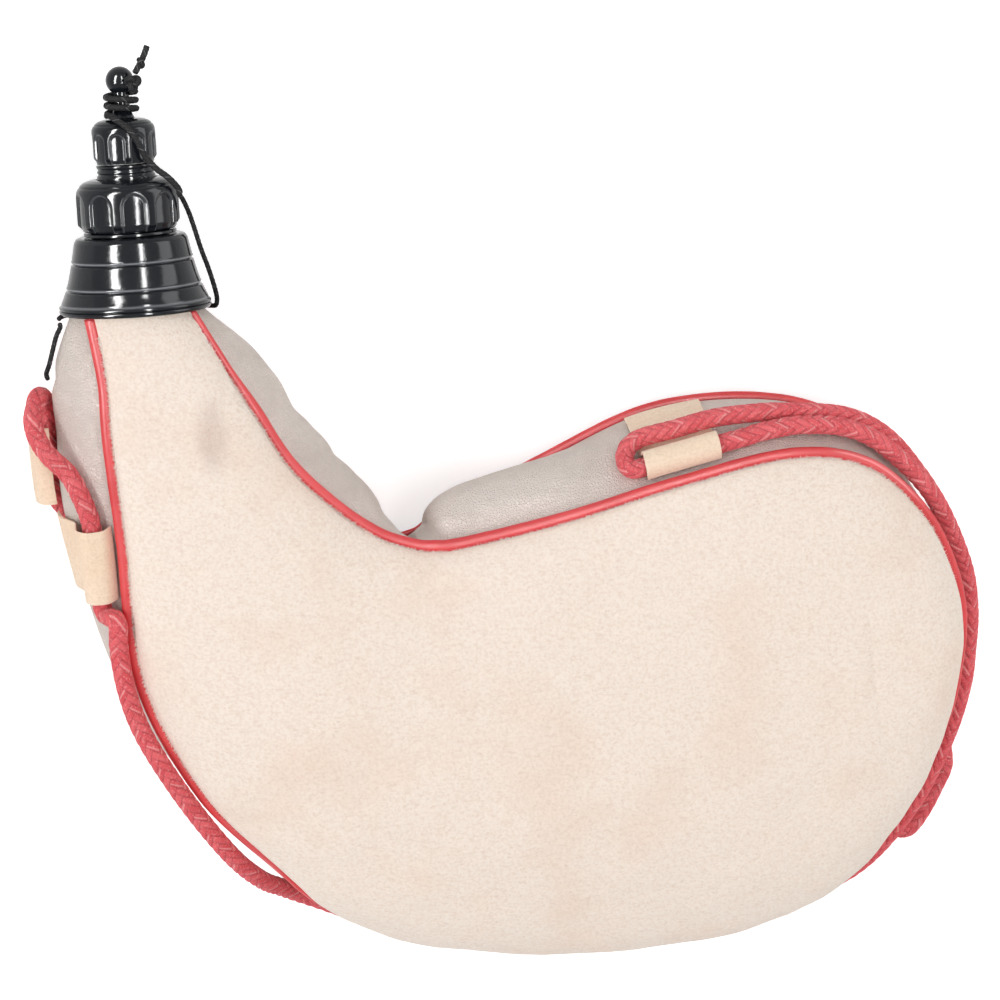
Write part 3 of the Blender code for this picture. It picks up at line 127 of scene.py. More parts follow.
# Neck, spout and cap
NECK_LEAN = math.radians(0.7)
NECK_SEAM_ANGLE = math.radians(51)
COLLAR_BASE_RADIUS = 0.0223
COLLAR_TOP_RADIUS = 0.0164
COLLAR_HEIGHT = 0.0222
COLLAR_BASE_WALL = 0.0018
COLLAR_TOP_WALL = 0.0024
COLLAR_BEAD_HEIGHT = 0.0029
COLLAR_BEAD_SHARE = 0.8
COLLAR_SHOULDER = 0.0014
COLLAR_LIP = 0.0005
COLLAR_FLARE_SHARE = 0.3
COLLAR_GROOVE_SHARES = (0.66, 0.32)
COLLAR_INNER_SHARES = (0.18, 0.5, 0.85)
GROOVE_WIDTH = 0.0010
GROOVE_DEPTH = 0.0005
# Strength of the painted highlight on the collar's groove ridges and bead edge
GROOVE_HIGHLIGHT = 0.8
GROOVE_RIDGE = 0.00012
COLLAR_SKIN = 0.0009
COLLAR_BEAD_GAP = 0.0006
COLLAR_BEAD_LINE = (0.0017, 0.00145, 0.0012)
COLLAR_ROWS = 68
NECK_X_SHARE = 0.047
INSERT_RADIUS = 0.0113
INSERT_BORE_RADIUS = 0.0090
INSERT_BOTTOM = 0.0040
INSERT_TOP = 0.0335
INSERT_FLANGE_RADIUS = 0.0136
INSERT_FLANGE_THICKNESS = 0.0009
THREAD_RIDGE = 0.0008
NUT_PITCH = 0.0035
NUT_THREAD_TURNS = 1.75
NUT_RADIUS = 0.0151
NUT_BOTTOM = 0.0238
NUT_HEIGHT = 0.0151
NUT_FLUTES = 9
GASKET_THICKNESS = 0.0010
SPOUT_FLANGE_THICKNESS = 0.0014
SPOUT_RADIUS = 0.0086
SPOUT_SHOULDER = 0.0429
SPOUT_THREAD_RADIUS = 0.0061
SPOUT_THREAD_TOP = 0.0500
SPOUT_TIP_RADIUS = 0.0026
SPOUT_TIP = 0.0537
SPOUT_JET_RADIUS = 0.0009
CAP_PITCH = 0.0030
CAP_THREAD_TURNS = 1.5
RUNNING_GAP = 0.0003
CAP_RADIUS = 0.0093
CAP_BOTTOM = 0.0433
CAP_DOME_START = 0.0526
CAP_TOP = 0.0562
CAP_WALL = 0.0021
CAP_FLUTES = 9
SEAL_THICKNESS = 0.0008
STEM_RADIUS = 0.0025
STEM_BOTTOM = 0.0585
BALL_CENTRE = 0.0672
BALL_RADIUS = 0.0041
FLUTE_DEPTH = 0.0008
BINDING_THICKNESS = 0.0008
BINDING_WIDTH = 0.0034
BINDING_SHARE = 0.42
BINDING_TURNS = 4
BINDING_POINTS = 260
TWINE_SIDES = 10
TWINE_PITCH = 0.0011
CAP_THREAD_RIDGE = 0.0006
SPOUT_CONE_RADIUS = 0.0046
SPOUT_WELL_RADIUS = 0.0070
NUT_DOME_HEIGHT = 0.0046
NUT_FLUTE_WIDTH = 0.0068
NUT_FLUTE_EASE = 0.0006
NUT_FOOT_HEIGHT = 0.0022
NUT_FOOT_STEP = 0.0008
CAP_FOOT_HEIGHT = 0.0012
CAP_FOOT_STEP = 0.0004
CAP_FLUTE_WIDTH = 0.0044
FLUTE_RIM = 0.0012
FLUTE_EDGE = 0.0007
FLUTE_RIM_EDGE = 0.0005
FLUTE_WALL_SHARE = 0.86
# Strength of the painted highlight on the edges of the flutes
FLUTE_HIGHLIGHT = 0.25
CAP_FLUTE_SHARE = 0.85
THREAD_WALL_SHARE = 0.985
SPOUT_WALL_SHARE = 0.97
BALL_POINTS = 24
FINE_CORNER = 0.0002
CAP_CORNER = 0.0003
NUT_CORNER = 0.0004
STEM_FLARE = 0.0012
DOME_SHARES = [(1.0, 0.0), (0.985, 0.24), (0.91, 0.45), (0.84, 0.53), (0.80, 0.66), (0.62, 0.84),
               (0.32, 0.96), (0.0, 1.0)]
SPOUT_CHAMFER_SHARE = 0.2

# Black tether
TETHER_RADIUS = 0.0009
TETHER_LOWER_RADIUS = 0.0007
LOOP_DROP = 0.0011
TETHER_WRAP_RADIUS = 0.0043
TETHER_WRAP_PITCH = 0.00245
TETHER_WRAP_BOTTOM = 0.0576
TETHER_WRAP_TURNS = 2.68
TETHER_WRAP_START = -90
TETHER_WRAP_STEPS = 16
TETHER_KNOT_PLACE = (26, 0.0071, 0.0666)
TETHER_STOP_PLACE = (52, 0.0076, 0.0722)
TETHER_KNOT_REACH = 0.00062
TETHER_STOP_REACH = 0.00040
TETHER_STRANDS = 3
TETHER_RELIEF = 0.22
TETHER_TAIL_ROUTE = [(33, 0.0073, 0.0694), (44, 0.0074, 0.0711), (55, 0.0076, 0.0726),
                     (60, 0.0083, 0.0744), (65, 0.0091, 0.0768)]
TETHER_UPPER_ROUTE = [(56, 0.0167, 0.0353), (47, 0.0150, 0.0388), (38, 0.0125, 0.0416),
                      (27, 0.0111, 0.0450), (16, 0.0110, 0.0492), (4, 0.0106, 0.0532),
                      (-18, 0.0086, 0.0563), (-45, 0.0062, 0.0575), (-70, 0.0049, 0.0573)]
TETHER_LOWER_ROUTE = [(57, 0.0167, 0.0336), (65, 0.0167, 0.0320), (78, 0.0174, 0.0280),
                      (82, 0.0186, 0.0234), (82, 0.0202, 0.0170), (84, 0.0220, 0.0110),
                      (86, 0.0234, 0.0055), (91, 0.0242, 0.0018), (98, 0.0244, -0.0006)]
TETHER_LOOP_RADIUS = 0.0225
TETHER_LOOP_SWELL = 0.0019
TETHER_LOOP_START = 106
TETHER_LOOP_SWEEP = 156
TETHER_LOOP_POINTS = 14
TETHER_END_ROUTE = [(-97, 0.0224, -0.0026), (-95, 0.0224, -0.0037), (-93, 0.0237, -0.0060),
                    (-94, 0.0250, -0.0100), (-95, 0.0263, -0.0142), (-101, 0.0275, -0.0172),
                    (-108, 0.0278, -0.0190)]

# Red carry cord and its keepers
CARRY_RADIUS = 0.00275
CARRY_KNOT_PLACE = (-0.0064, -0.1467, 0.0051)
CARRY_KNOT_REACH = 0.0019
CARRY_KNOT_SHARE = 0.88
CARRY_KNOT_TURN = np.array([0.4, 1.0, 0.0])
BRAID_RELIEF = 0.20
KNOT_RELIEF = 0.15
CARRY_ROUTE = [
    (-0.0141, -0.1453, 0.0050), (-0.0242, -0.1420, 0.0042), (-0.0349, -0.1378, 0.0032),
    (-0.0516, -0.1301, 0.0030), (-0.0677, -0.1201, 0.0030), (-0.0779, -0.1097, 0.0030),
    (-0.0900, -0.0960, 0.0030), (-0.1035, -0.0807, 0.0030), (-0.1143, -0.0622, 0.0030),
    (-0.1235, -0.0401, 0.0030), (-0.1284, -0.0222, 0.0030), (-0.1326, -0.0078, 0.0035),
    (-0.1365, 0.0013, 0.0064), (-0.1389, 0.0070, 0.0102), (-0.1421, 0.0113, 0.0136),
    (-0.1447, 0.0166, 0.0166), (-0.1457, 0.0228, 0.0174), (-0.1461, 0.0286, 0.0174),
    (-0.1465, 0.0350, 0.0173), (-0.1466, 0.0444, 0.0156), (-0.1478, 0.0480, 0.0182),
    (-0.1494, 0.0488, 0.0220), (-0.1507, 0.0466, 0.0258), (-0.1516, 0.0445, 0.0290),
    (-0.1509, 0.0402, 0.0320), (-0.1478, 0.0351, 0.0340), (-0.1425, 0.0294, 0.0355),
    (-0.1392, 0.0226, 0.0377), (-0.1368, 0.0147, 0.0390), (-0.1354, 0.0024, 0.0388),
    (-0.1340, -0.0131, 0.0384), (-0.1309, -0.0142, 0.0457), (-0.1304, -0.0238, 0.0442),
    (-0.1287, -0.0363, 0.0441), (-0.1248, -0.0499, 0.0429), (-0.1183, -0.0635, 0.0432),
    (-0.1084, -0.0810, 0.0409), (-0.0969, -0.0985, 0.0369), (-0.0872, -0.1108, 0.0290),
    (-0.0795, -0.1188, 0.0195), (-0.0690, -0.1265, 0.0130), (-0.0433, -0.1387, 0.0110),
    (-0.0069, -0.1462, 0.0133), (0.0339, -0.1489, 0.0110), (0.0715, -0.1448, 0.0120),
    (0.0936, -0.1355, 0.0205), (0.1083, -0.1238, 0.0264), (0.1221, -0.1037, 0.0302),
    (0.1314, -0.0814, 0.0319), (0.1358, -0.0640, 0.0327), (0.1369, -0.0515, 0.0326),
    (0.1372, -0.0397, 0.0325), (0.1357, -0.0278, 0.0324), (0.1322, -0.0172, 0.0331),
    (0.1266, -0.0049, 0.0344), (0.1203, 0.0052, 0.0368), (0.1122, 0.0142, 0.0364),
    (0.1020, 0.0228, 0.0364), (0.0912, 0.0275, 0.0374), (0.0788, 0.0293, 0.0388),
    (0.0718, 0.0290, 0.0393), (0.0651, 0.0282, 0.0399), (0.0624, 0.0275, 0.0401),
    (0.0532, 0.0256, 0.0402), (0.0415, 0.0229, 0.0403), (0.0343, 0.0213, 0.0403),
    (0.0298, 0.0201, 0.0404), (0.0266, 0.0195, 0.0401), (0.0252, 0.0203, 0.0386),
    (0.0249, 0.0220, 0.0366), (0.0264, 0.0246, 0.0345), (0.0300, 0.0267, 0.0335),
    (0.0350, 0.0279, 0.0335), (0.0407, 0.0290, 0.0336), (0.0524, 0.0315, 0.0335),
    (0.0638, 0.0322, 0.0334), (0.0743, 0.0317, 0.0326), (0.0945, 0.0287, 0.0318),
    (0.1086, 0.0204, 0.0300), (0.1203, 0.0063, 0.0274), (0.1284, -0.0067, 0.0263),
    (0.1334, -0.0188, 0.0257), (0.1365, -0.0294, 0.0254), (0.1376, -0.0397, 0.0254),
    (0.1375, -0.0498, 0.0252), (0.1372, -0.0600, 0.0239), (0.1366, -0.0710, 0.0205),
    (0.1362, -0.0816, 0.0155), (0.1374, -0.0926, 0.0100), (0.1398, -0.1037, 0.0056),
    (0.1378, -0.1120, 0.0034), (0.1342, -0.1200, 0.0030), (0.1303, -0.1257, 0.0030),
    (0.1276, -0.1269, 0.0030), (0.1252, -0.1256, 0.0030), (0.1215, -0.1201, 0.0031),
    (0.1125, -0.1234, 0.0031), (0.0885, -0.1334, 0.0030), (0.0665, -0.1413, 0.0030),
    (0.0389, -0.1455, 0.0030), (0.0237, -0.1470, 0.0034), (0.0127, -0.1479, 0.0042),
    (0.0014, -0.1476, 0.0050),
]
KEEPER_WIDTH = 0.0235
KEEPER_THICKNESS = 0.0016
KEEPER_STAND_OFF = 0.0065
KEEPER_TOP_PLACE = 19.92
KEEPER_LEFT_PLACE = 3.17
KEEPER_NECK_PLACE = 2.42
KEEPER_SHARES = [(0.03, 0.0), (0.04, 0.60), (0.09, 0.92), (0.14, 1.0), (0.20, 0.85),
                 (0.25, 0.35), (0.30, 0.05), (0.42, 0.0), (0.60, 0.0)]
KEEPER_TOP_SHARES = KEEPER_SHARES + [(0.76, 0.0), (0.92, 0.0)]
KEEPER_NECK_SHARES = [(0.50, 0.0), (0.54, 0.55), (0.61, 0.92), (0.70, 1.0), (0.79, 0.92),
                      (0.87, 0.55), (0.92, 0.0)]

# Unevenness: wave lengths, seed and height of each layer
SUEDE_WAVES = [((0.075, 0.038), 5, 0.0007), ((0.014, 0.008), 11, 0.00022)]
SUEDE_EDGE_WAVES = [((0.006, 0.0025), 3, 0.0004)]
GUSSET_WAVES = [((0.045, 0.022), 21, 0.0004), ((0.011, 0.006), 8, 0.0002)]
PIPING_WAVES = [((0.018, 0.007), 31, 0.035)]
SUEDE_CALM_ROWS = 60.0
SUEDE_CALM_SHARE = 7

# Places along the seams where the piping is thinner or thicker: centre, width, share
FRONT_PIPING_TUCK = (27.9, 1.2, 0.35)
FRONT_PIPING_SWELL = (22.4, 1.2, 0.10)
BACK_PIPING_TUCK = (22.8, 0.8, 0.60)

# Creases pressed into the gusset: place along the seam, width in places, depth, and lean
GUSSET_CREASES = [(23.6, 0.14, 0.0022, 0.10), (24.7, 0.20, 0.0008, -0.35),
                  (26.1, 0.22, 0.0009, 0.30), (27.4, 0.25, 0.0008, -0.30),
                  (21.7, 0.90, -0.0040, 0.0), (2.1, 0.35, 0.0006, 0.30),
                  (1.2, 0.22, 0.0008, -0.2), (18.7, 0.45, 0.0005, 0.2)]
CORD_SIDE_PLACES = (3.6, 17.5)

# Resolution of the visible meshes
STEPS_PER_STATION = 12
PANEL_COLUMNS = 44
GUSSET_COLUMNS = 40
FOLD_ROWS = 16
BLADDER_SIDES = 48
BLADDER_ROWS = 60
KEEPER_COLUMNS = 21
KEEPER_ROWS = 8
TURN_SEGMENTS = 320
CAP_SEGMENTS = 252
PROFILE_STEP = 0.00035
CORNER_POINTS = 4
PIPING_SIDES = 20
PIPING_STEP = 0.0012
BRAID_SIDES = 36
BRAID_STEP = 0.00072
KNOT_SIDES = 28
TETHER_SIDES = 15
TETHER_STEP = 0.00028
CARRY_STRANDS = 6
CARRY_STRAND_PITCH = 0.0036
TETHER_STRAND_PITCH = 0.0014
WELD = 2e-6
SHEET_WELD = 2e-5
FLAT_AREA = 1e-13
SHEET_FLAT_AREA = 1e-12

# Colours
SUEDE_PALE = (0.94, 0.82, 0.72)
SUEDE_BLUSH = (0.92, 0.75, 0.63)
SUEDE_SHADE = (0.74, 0.55, 0.43)
SUEDE_MARK_TINT = (0.84, 0.62, 0.53)
FIBRE_COLOUR = (0.93, 0.85, 0.79)
TAN_PALE = (0.90, 0.71, 0.54)
TAN_BLUSH = (0.86, 0.65, 0.47)
TAN_SHADE = (0.70, 0.50, 0.34)
GRAIN_PALE = (0.72, 0.635, 0.575)
# Darker tone of the grain's random mottle, and the painted shade in its creases
GRAIN_DARK_AND_CREASE_SHADE = (0.60, 0.52, 0.465)
VINYL_DARK = (0.66, 0.045, 0.050)
VINYL_PALE = (0.74, 0.065, 0.070)
CORD_DARK = (0.72, 0.070, 0.085)
CORD_PALE = (0.82, 0.120, 0.135)
CORD_FUZZ = (0.93, 0.36, 0.36)
# Painted shade in the gaps between the red cord's strands
CORD_GAP_SHADE = (0.40, 0.020, 0.035)
CORD_TRACER = (0.92, 0.62, 0.60)
TETHER_DARK = (0.005, 0.005, 0.006)
TETHER_PALE = (0.016, 0.016, 0.018)
TETHER_TRACER = (0.30, 0.30, 0.31)
# Painted shade in the gaps between the tether's strands
TETHER_GAP_SHADE = (0.002, 0.002, 0.003)
PLASTIC_DARK = (0.006, 0.007, 0.009)
PLASTIC_PALE = (0.012, 0.014, 0.018)
# Pale grey of the painted highlights on the plastic's ridges and edges
PLASTIC_HIGHLIGHT = (0.30, 0.31, 0.33)
LATEX_PALE = (0.70, 0.56, 0.34)
LATEX_DARK = (0.55, 0.42, 0.24)
RUBBER_PALE = (0.030, 0.030, 0.032)
RUBBER_DARK = (0.020, 0.020, 0.022)
TWINE_DARK = (0.42, 0.33, 0.20)
TWINE_PALE = (0.70, 0.60, 0.44)
FLOOR_GREY = (0.86, 0.86, 0.86, 1.0)
WHITE = (1.0, 1.0, 1.0, 1.0)

# Place and reach of the pressed mark on the suede
SUEDE_MARK_CENTRE = (-0.093, 0.044, 0.050)
SUEDE_MARK_REACH = (0.006, 0.014, 0.030)

# Camera, floor and light
CAMERA_TURN = math.radians(12)
CAMERA_TILT = math.radians(21)
CAMERA_DISTANCE = 1.30
CAMERA_TARGET = Vector((-0.0022, 0.0082, 0.025))
SENSOR_WIDTH = 36.0
CAMERA_LENS = 154.44
WORLD_LEVEL = 0.62
FLOOR_GLOW = 0.56
FLOOR_HALF = 4.0
FLOOR_DROP = 0.0002
LAMP_DISTANCE = 1.7
SOFT_LENGTH = 0.85
STRIP_LENGTH = 2.0

# Softboxes: name, degrees from straight up, lean towards the neck, width, length, power, glossy
SOFTBOXES = [
    ("soft_left", -54, 0.10, 0.30, SOFT_LENGTH, 9.0, False),
    ("soft_top", 9, 0.15, 0.17, SOFT_LENGTH, 5.0, False),
    ("soft_right", 66, 0.10, 0.55, SOFT_LENGTH, 4.0, False),
    ("strip_left", -49, 0.40, 0.34, STRIP_LENGTH, 190.0, True),
    ("strip_top", 10, 0.40, 0.20, STRIP_LENGTH, 100.0, True),
    ("strip_right", 66, 0.40, 0.80, STRIP_LENGTH, 26.0, True),
]

MILLI = 0.001
LAST_STATION = len(SEAM_SHARES) + 1
TIP_STATION = LAST_STATION / 2
UP = np.array([0.0, 0.0, 1.0])


# The bag's surfaces

def unit(vectors):
    length = np.linalg.norm(vectors, axis=-1, keepdims=True)
    return vectors / np.maximum(length, 1e-12)


def smooth(t):
    t = np.clip(t, 0, 1)
    return t * t * (3 - 2 * t)


def spline(rows, places):
    """Values at places along a smooth curve through evenly numbered rows."""
    rows = np.asarray(rows, float)
    places = np.asarray(places, float)
    index = np.clip(np.floor(places).astype(int), 0, len(rows) - 2)
    t = (places - index)[..., None]
    a = rows[np.maximum(index - 1, 0)]
    b = rows[index]
    c = rows[index + 1]
    d = rows[np.minimum(index + 2, len(rows) - 1)]
    square = (2 * a - 5 * b + 4 * c - d) * t ** 2
    return 0.5 * (2 * b + (c - a) * t + square + (3 * b - a - 3 * c + d) * t ** 3)


def plan_point(x_share, y_share):
    x = (x_share - 0.5) * PANEL_WIDTH + PLAN_SHIFT_X
    y = y_share * PANEL_LENGTH - (PANEL_LENGTH + BALL_CENTRE + BALL_RADIUS) / 2 + PLAN_SHIFT_Y
    return x, y


COLLAR_REST = COLLAR_BEAD_HEIGHT * COLLAR_BEAD_SHARE
NUT_REST = NUT_BOTTOM + NUT_HEIGHT - NUT_DOME_HEIGHT
NECK_DROOP = math.atan((COLLAR_BASE_RADIUS - NUT_RADIUS) / (NUT_REST - COLLAR_REST))
REST_DROP = COLLAR_REST * math.sin(NECK_DROOP)
NECK_HEIGHT = COLLAR_BASE_RADIUS * math.cos(NECK_DROOP) + REST_DROP + FLOOR_CLEARANCE
NECK_BASE = Vector((*plan_point(NECK_X_SHARE, 1.0), NECK_HEIGHT))
NECK_MATRIX = (
    Matrix.Translation(NECK_BASE)
    @ Matrix.Rotation(NECK_LEAN, 4, "Z")
    @ Matrix.Rotation(-math.pi / 2 - NECK_DROOP, 4, "X")
)
NECK_TURN = np.array(NECK_MATRIX.to_3x3())
NECK_ORIGIN = np.array(NECK_BASE)
NECK_UP = NECK_TURN @ np.array([0.0, -1.0, 0.0])
NECK_SIDE = NECK_TURN @ np.array([1.0, 0.0, 0.0])
NECK_AXIS = NECK_TURN @ UP

PANEL_INSET = PIPING_RADIUS + CLEARANCE + PANEL_THICKNESS / 2
GUSSET_INSET = PIPING_RADIUS + CLEARANCE + GUSSET_THICKNESS / 2
PIPING_DROP = CLEARANCE + PIPING_RADIUS / 2
NECK_RADIUS = COLLAR_BASE_RADIUS - COLLAR_BASE_WALL - 2 * CLEARANCE - PANEL_THICKNESS / 2
CLAMP_RADIUS = INSERT_RADIUS + 3 * CLEARANCE + BLADDER_THICKNESS + PANEL_THICKNESS / 2


def neck_points(angle, radius, height):
    """World places at angles from the neck's top side, positive towards +X."""
    angle, radius, height = np.broadcast_arrays(angle, radius, height)
    local = np.stack([radius * np.sin(angle), -radius * np.cos(angle), height], -1)
    return NECK_ORIGIN + local @ NECK_TURN.T


def neck_heights(points):
    return (points - NECK_ORIGIN) @ NECK_AXIS


def neck_seam_row(side):
    front = neck_points(side * NECK_SEAM_ANGLE, NECK_RADIUS, 0.0)
    back = neck_points(side * (math.pi - NECK_SEAM_ANGLE), NECK_RADIUS, 0.0)
    return [*front, *back, NECK_RADIUS * (1 - math.sin(NECK_SEAM_ANGLE))]


def seam_rows():
    rows = [neck_seam_row(-1)]
    for x_share, y_share, height, swell, drift_x, drift_y in SEAM_SHARES:
        x, y = plan_point(x_share, y_share)
        front = [x, y, height * FRONT_SEAM_HEIGHT]
        back = [x + drift_x * BACK_DRIFT, y + drift_y * BACK_DRIFT, BACK_SEAM_HEIGHT]
        rows.append([*front, *back, swell * GUSSET_BULGE])
    rows.append(neck_seam_row(1))
    return np.array(rows)


SEAM_ROWS = seam_rows()
CROWN_ROWS = np.array(CROWN_SHARES)[:, None] * CROWN_HEIGHT


def front_seam(place):
    return spline(SEAM_ROWS[:, 0:3], place)


def back_seam(place):
    return spline(SEAM_ROWS[:, 3:6], place)


def neck_share(place):
    """How far a place follows the round neck: 1 at the collar, 0 in the bag."""
    place = np.asarray(place, float)
    return 1 - smooth(np.minimum(place, LAST_STATION - place) / NECK_BLEND_STATIONS)


def outward(place):
    """Level direction out of the bag, square to the front seam."""
    place = np.asarray(place, float)
    ahead = front_seam(np.minimum(place + SEAM_STEP, LAST_STATION))
    behind = front_seam(np.maximum(place - SEAM_STEP, 0))
    along = ahead - behind
    square = unit(np.stack([along[..., 1], -along[..., 0], np.zeros(along.shape[:-1])], -1))
    sideways = np.where(place > TIP_STATION, 1.0, -1.0)[..., None] * NECK_SIDE
    share = neck_share(place)[..., None]
    return unit(square + (sideways - square) * share)


def crown_station(place):
    return np.minimum(np.minimum(place, LAST_STATION - place), CROWN_END_SHARE * TIP_STATION)


def middle(seam, station):
    return (seam(station) + seam(LAST_STATION - station)) / 2


def neck_arc(seam, station, place, share, side, inset):
    """Round neck section, above (1) or below (-1) the line between its seams."""
    centre = middle(seam, station)
    edge = seam(place)
    radius = np.linalg.norm(edge - centre, axis=-1) / math.sin(NECK_SEAM_ANGLE)
    angle = (NECK_SEAM_ANGLE - inset / np.maximum(radius, MILLI)) * (1 - share)
    across = 1 - np.sin(angle) / math.sin(NECK_SEAM_ANGLE)
    rise = radius * (np.cos(angle) - math.cos(NECK_SEAM_ANGLE)) * side
    return edge + (centre - edge) * across[..., None] + NECK_UP * rise[..., None]


def front_panel_points(place, share):
    """Middle surface of the suede front, from its stitched edge (0) to its crown line (1)."""
    seam = front_seam(place)
    station = crown_station(place)
    crown = middle(front_seam, station)
    crown[..., 2] = spline(CROWN_ROWS, station)[..., 0]
    out = outward(place)
    edge = seam - out * SUEDE_BESIDE + UP * SUEDE_ABOVE
    fall = np.maximum(1 - seam[..., 2:3] / FRONT_SEAM_HEIGHT, 0)
    roll = EDGE_ROLL * fall ** EDGE_ROLL_POWER_SHARE
    rise = UP * ((crown[..., 2:3] - seam[..., 2:3]) * PANEL_RISE_SHARE)
    shoulder = edge + out * roll + rise
    flat = crown + (edge - crown) * PANEL_FLAT_SHARE
    flat[..., 2] = crown[..., 2]
    t = np.asarray(share, float)[..., None]
    s = 1 - t
    pillow = (edge * s ** 3 + shoulder * 3 * s * s * t + flat * 3 * s * t * t + crown * t ** 3)
    arc = neck_arc(front_seam, station, place, share, 1, SUEDE_INSET)
    return pillow + (arc - pillow) * neck_share(place)[..., None]


def back_panel_points(place, share):
    """Middle surface of the back, from its stitched edge (0) to its spine (1)."""
    seam = back_seam(place)
    station = crown_station(place)
    spine = middle(back_seam, station)
    spine[..., 2] = PANEL_THICKNESS / 2
    edge = seam - outward(place) * PANEL_INSET
    level = edge + (spine - edge) * np.asarray(share, float)[..., None]
    fall = 1 - np.minimum(share / BACK_FLAT_SHARE, 1)
    level[..., 2] = spine[..., 2] + (edge[..., 2] - spine[..., 2]) * fall * fall
    arc = neck_arc(back_seam, station, place, share, -1, PANEL_INSET)
    arc[..., 2] = np.maximum(arc[..., 2], spine[..., 2])
    return level + (arc - level) * neck_share(place)[..., None]


def gusset_points(place, share):
    """Middle surface of the gusset from the front seam (0) to the back seam (1)."""
    top = front_seam(place) - UP * GUSSET_INSET
    bottom = back_seam(place) + UP * GUSSET_INSET
    swell = spline(SEAM_ROWS, place)[..., 6:7]
    arch = np.sin(math.pi * np.asarray(share, float))[..., None]
    return top + (bottom - top) * np.asarray(share, float)[..., None] + outward(place) * swell * arch


def grid_normals(points):
    """Unit normals of a grid of points, square to both of its directions."""
    along = np.gradient(points, axis=0)
    across = np.gradient(points, axis=1)
    return unit(np.cross(along, across))


def above_gusset(place, share, lift):
    step = SEAM_STEP
    along = gusset_points(place + step, share) - gusset_points(place - step, share)
    down = gusset_points(place, share + step) - gusset_points(place, share - step)
    return gusset_points(place, share) + unit(np.cross(down, along)) * lift[..., None]


def ripple(points, lengths, seed):
    """Soft unevenness from -1 to 1, the sum of waves of the given lengths in many directions."""
    rng = np.random.default_rng(seed)
    total = np.zeros(points.shape[:-1])
    weight = 0.0
    for length in lengths:
        for turn in range(5):
            heading = unit(rng.normal(size=3))
            phase = rng.uniform(0, 2 * math.pi)
            stretch = rng.uniform(0.75, 1.3)
            total += np.sin(points @ heading * (2 * math.pi / (length * stretch)) + phase)
            weight += 1
    return total / weight * 2


def unevenness(points, waves):
    return sum(ripple(points, lengths, seed) * height for lengths, seed, height in waves)


def bump_at(value, centre, width):
    return np.exp(-((value - centre) / width) ** 2)


def distances(points):
    """Distance travelled along a line at each of its points."""
    steps = np.linalg.norm(np.diff(points, axis=0), axis=1)
    return np.concatenate([[0], np.cumsum(steps)])


def at_distances(wanted, travelled, points):
    return np.stack([np.interp(wanted, travelled, points[:, axis]) for axis in range(3)], -1)


# Meshes

COLLECTION = bpy.data.collections.new("bota_bag_finish")
bpy.context.scene.collection.children.link(COLLECTION)


def add_object(name, vertices, faces, finish):
    mesh = bpy.data.meshes.new(name)
    mesh.from_pydata([tuple(v) for v in np.asarray(vertices).reshape(-1, 3).tolist()], [], faces)
    mesh.materials.append(finish)
    made = bpy.data.objects.new(name, mesh)
    COLLECTION.objects.link(made)
    mesh.shade_smooth()
    return made


def grid_faces(rows, columns, close_rows=False, close_columns=False):
    faces = []
    for r in range(rows if close_rows else rows - 1):
        below = (r + 1) % rows
        for c in range(columns if close_columns else columns - 1):
            d = (c + 1) % columns
            faces.append((r * columns + c, r * columns + d, below * columns + d, below * columns + c))
    return faces


def rework(made, weld=0.0, flat_area=0.0, outwards=True, end_ring=0):
    """Close a mesh's last ring, weld it, drop its flat faces and turn its faces outwards."""
    shape = bmesh.new()
    shape.from_mesh(made.data)
    if end_ring:
        shape.verts.ensure_lookup_table()
        last = len(shape.verts) - end_ring
        shape.faces.new([shape.verts[last + index] for index in range(end_ring)])
    if weld:
        bmesh.ops.remove_doubles(shape, verts=shape.verts, dist=weld)
        flat = [face for face in shape.faces if face.calc_area() < flat_area]
        bmesh.ops.delete(shape, geom=flat, context="FACES")
    if outwards:
        bmesh.ops.recalc_face_normals(shape, faces=shape.faces)
    shape.to_mesh(made.data)
    shape.free()
    made.data.shade_smooth()


def apply_modifiers(made):
    graph = bpy.context.evaluated_depsgraph_get()
    graph.update()
    mesh = bpy.data.meshes.new_from_object(made.evaluated_get(graph))
    mesh.name = made.name
    old = made.data
    made.modifiers.clear()
    made.data = mesh
    bpy.data.meshes.remove(old)
    return made


def sheet_body(name, points, thickness, finish, bevel=0.0003):
    """Closed leather sheet around a grid of points on its middle surface."""
    made = add_object(name, points, grid_faces(*points.shape[:2]), finish)
    rework(made, SHEET_WELD, SHEET_FLAT_AREA, outwards=False)
    solid = made.modifiers.new("thickness", "SOLIDIFY")
    solid.thickness = thickness
    solid.offset = 0
    solid.use_even_offset = True
    solid.thickness_clamp = 1.0
    soften = made.modifiers.new("cut edge", "BEVEL")
    soften.width = bevel
    soften.segments = 2
    soften.limit_method = "ANGLE"
    soften.angle_limit = math.radians(50)
    apply_modifiers(made)
    made.data.shade_smooth()
    return made


def finished(made, body, slot_name, *nodes):
    """Every piece rides on its body and stands for its nodes, which are hidden; its slot name is not
    used.
    """
    if body:
        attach(made, body)
    if nodes:
        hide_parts(*nodes)
    return made


# Nodes

def add_socket(tree, name, kind="Float", value=None, direction="INPUT"):
    socket = tree.interface.new_socket(name=name, in_out=direction,
                                       socket_type="NodeSocket" + kind)
    if value is not None:
        socket.default_value = value


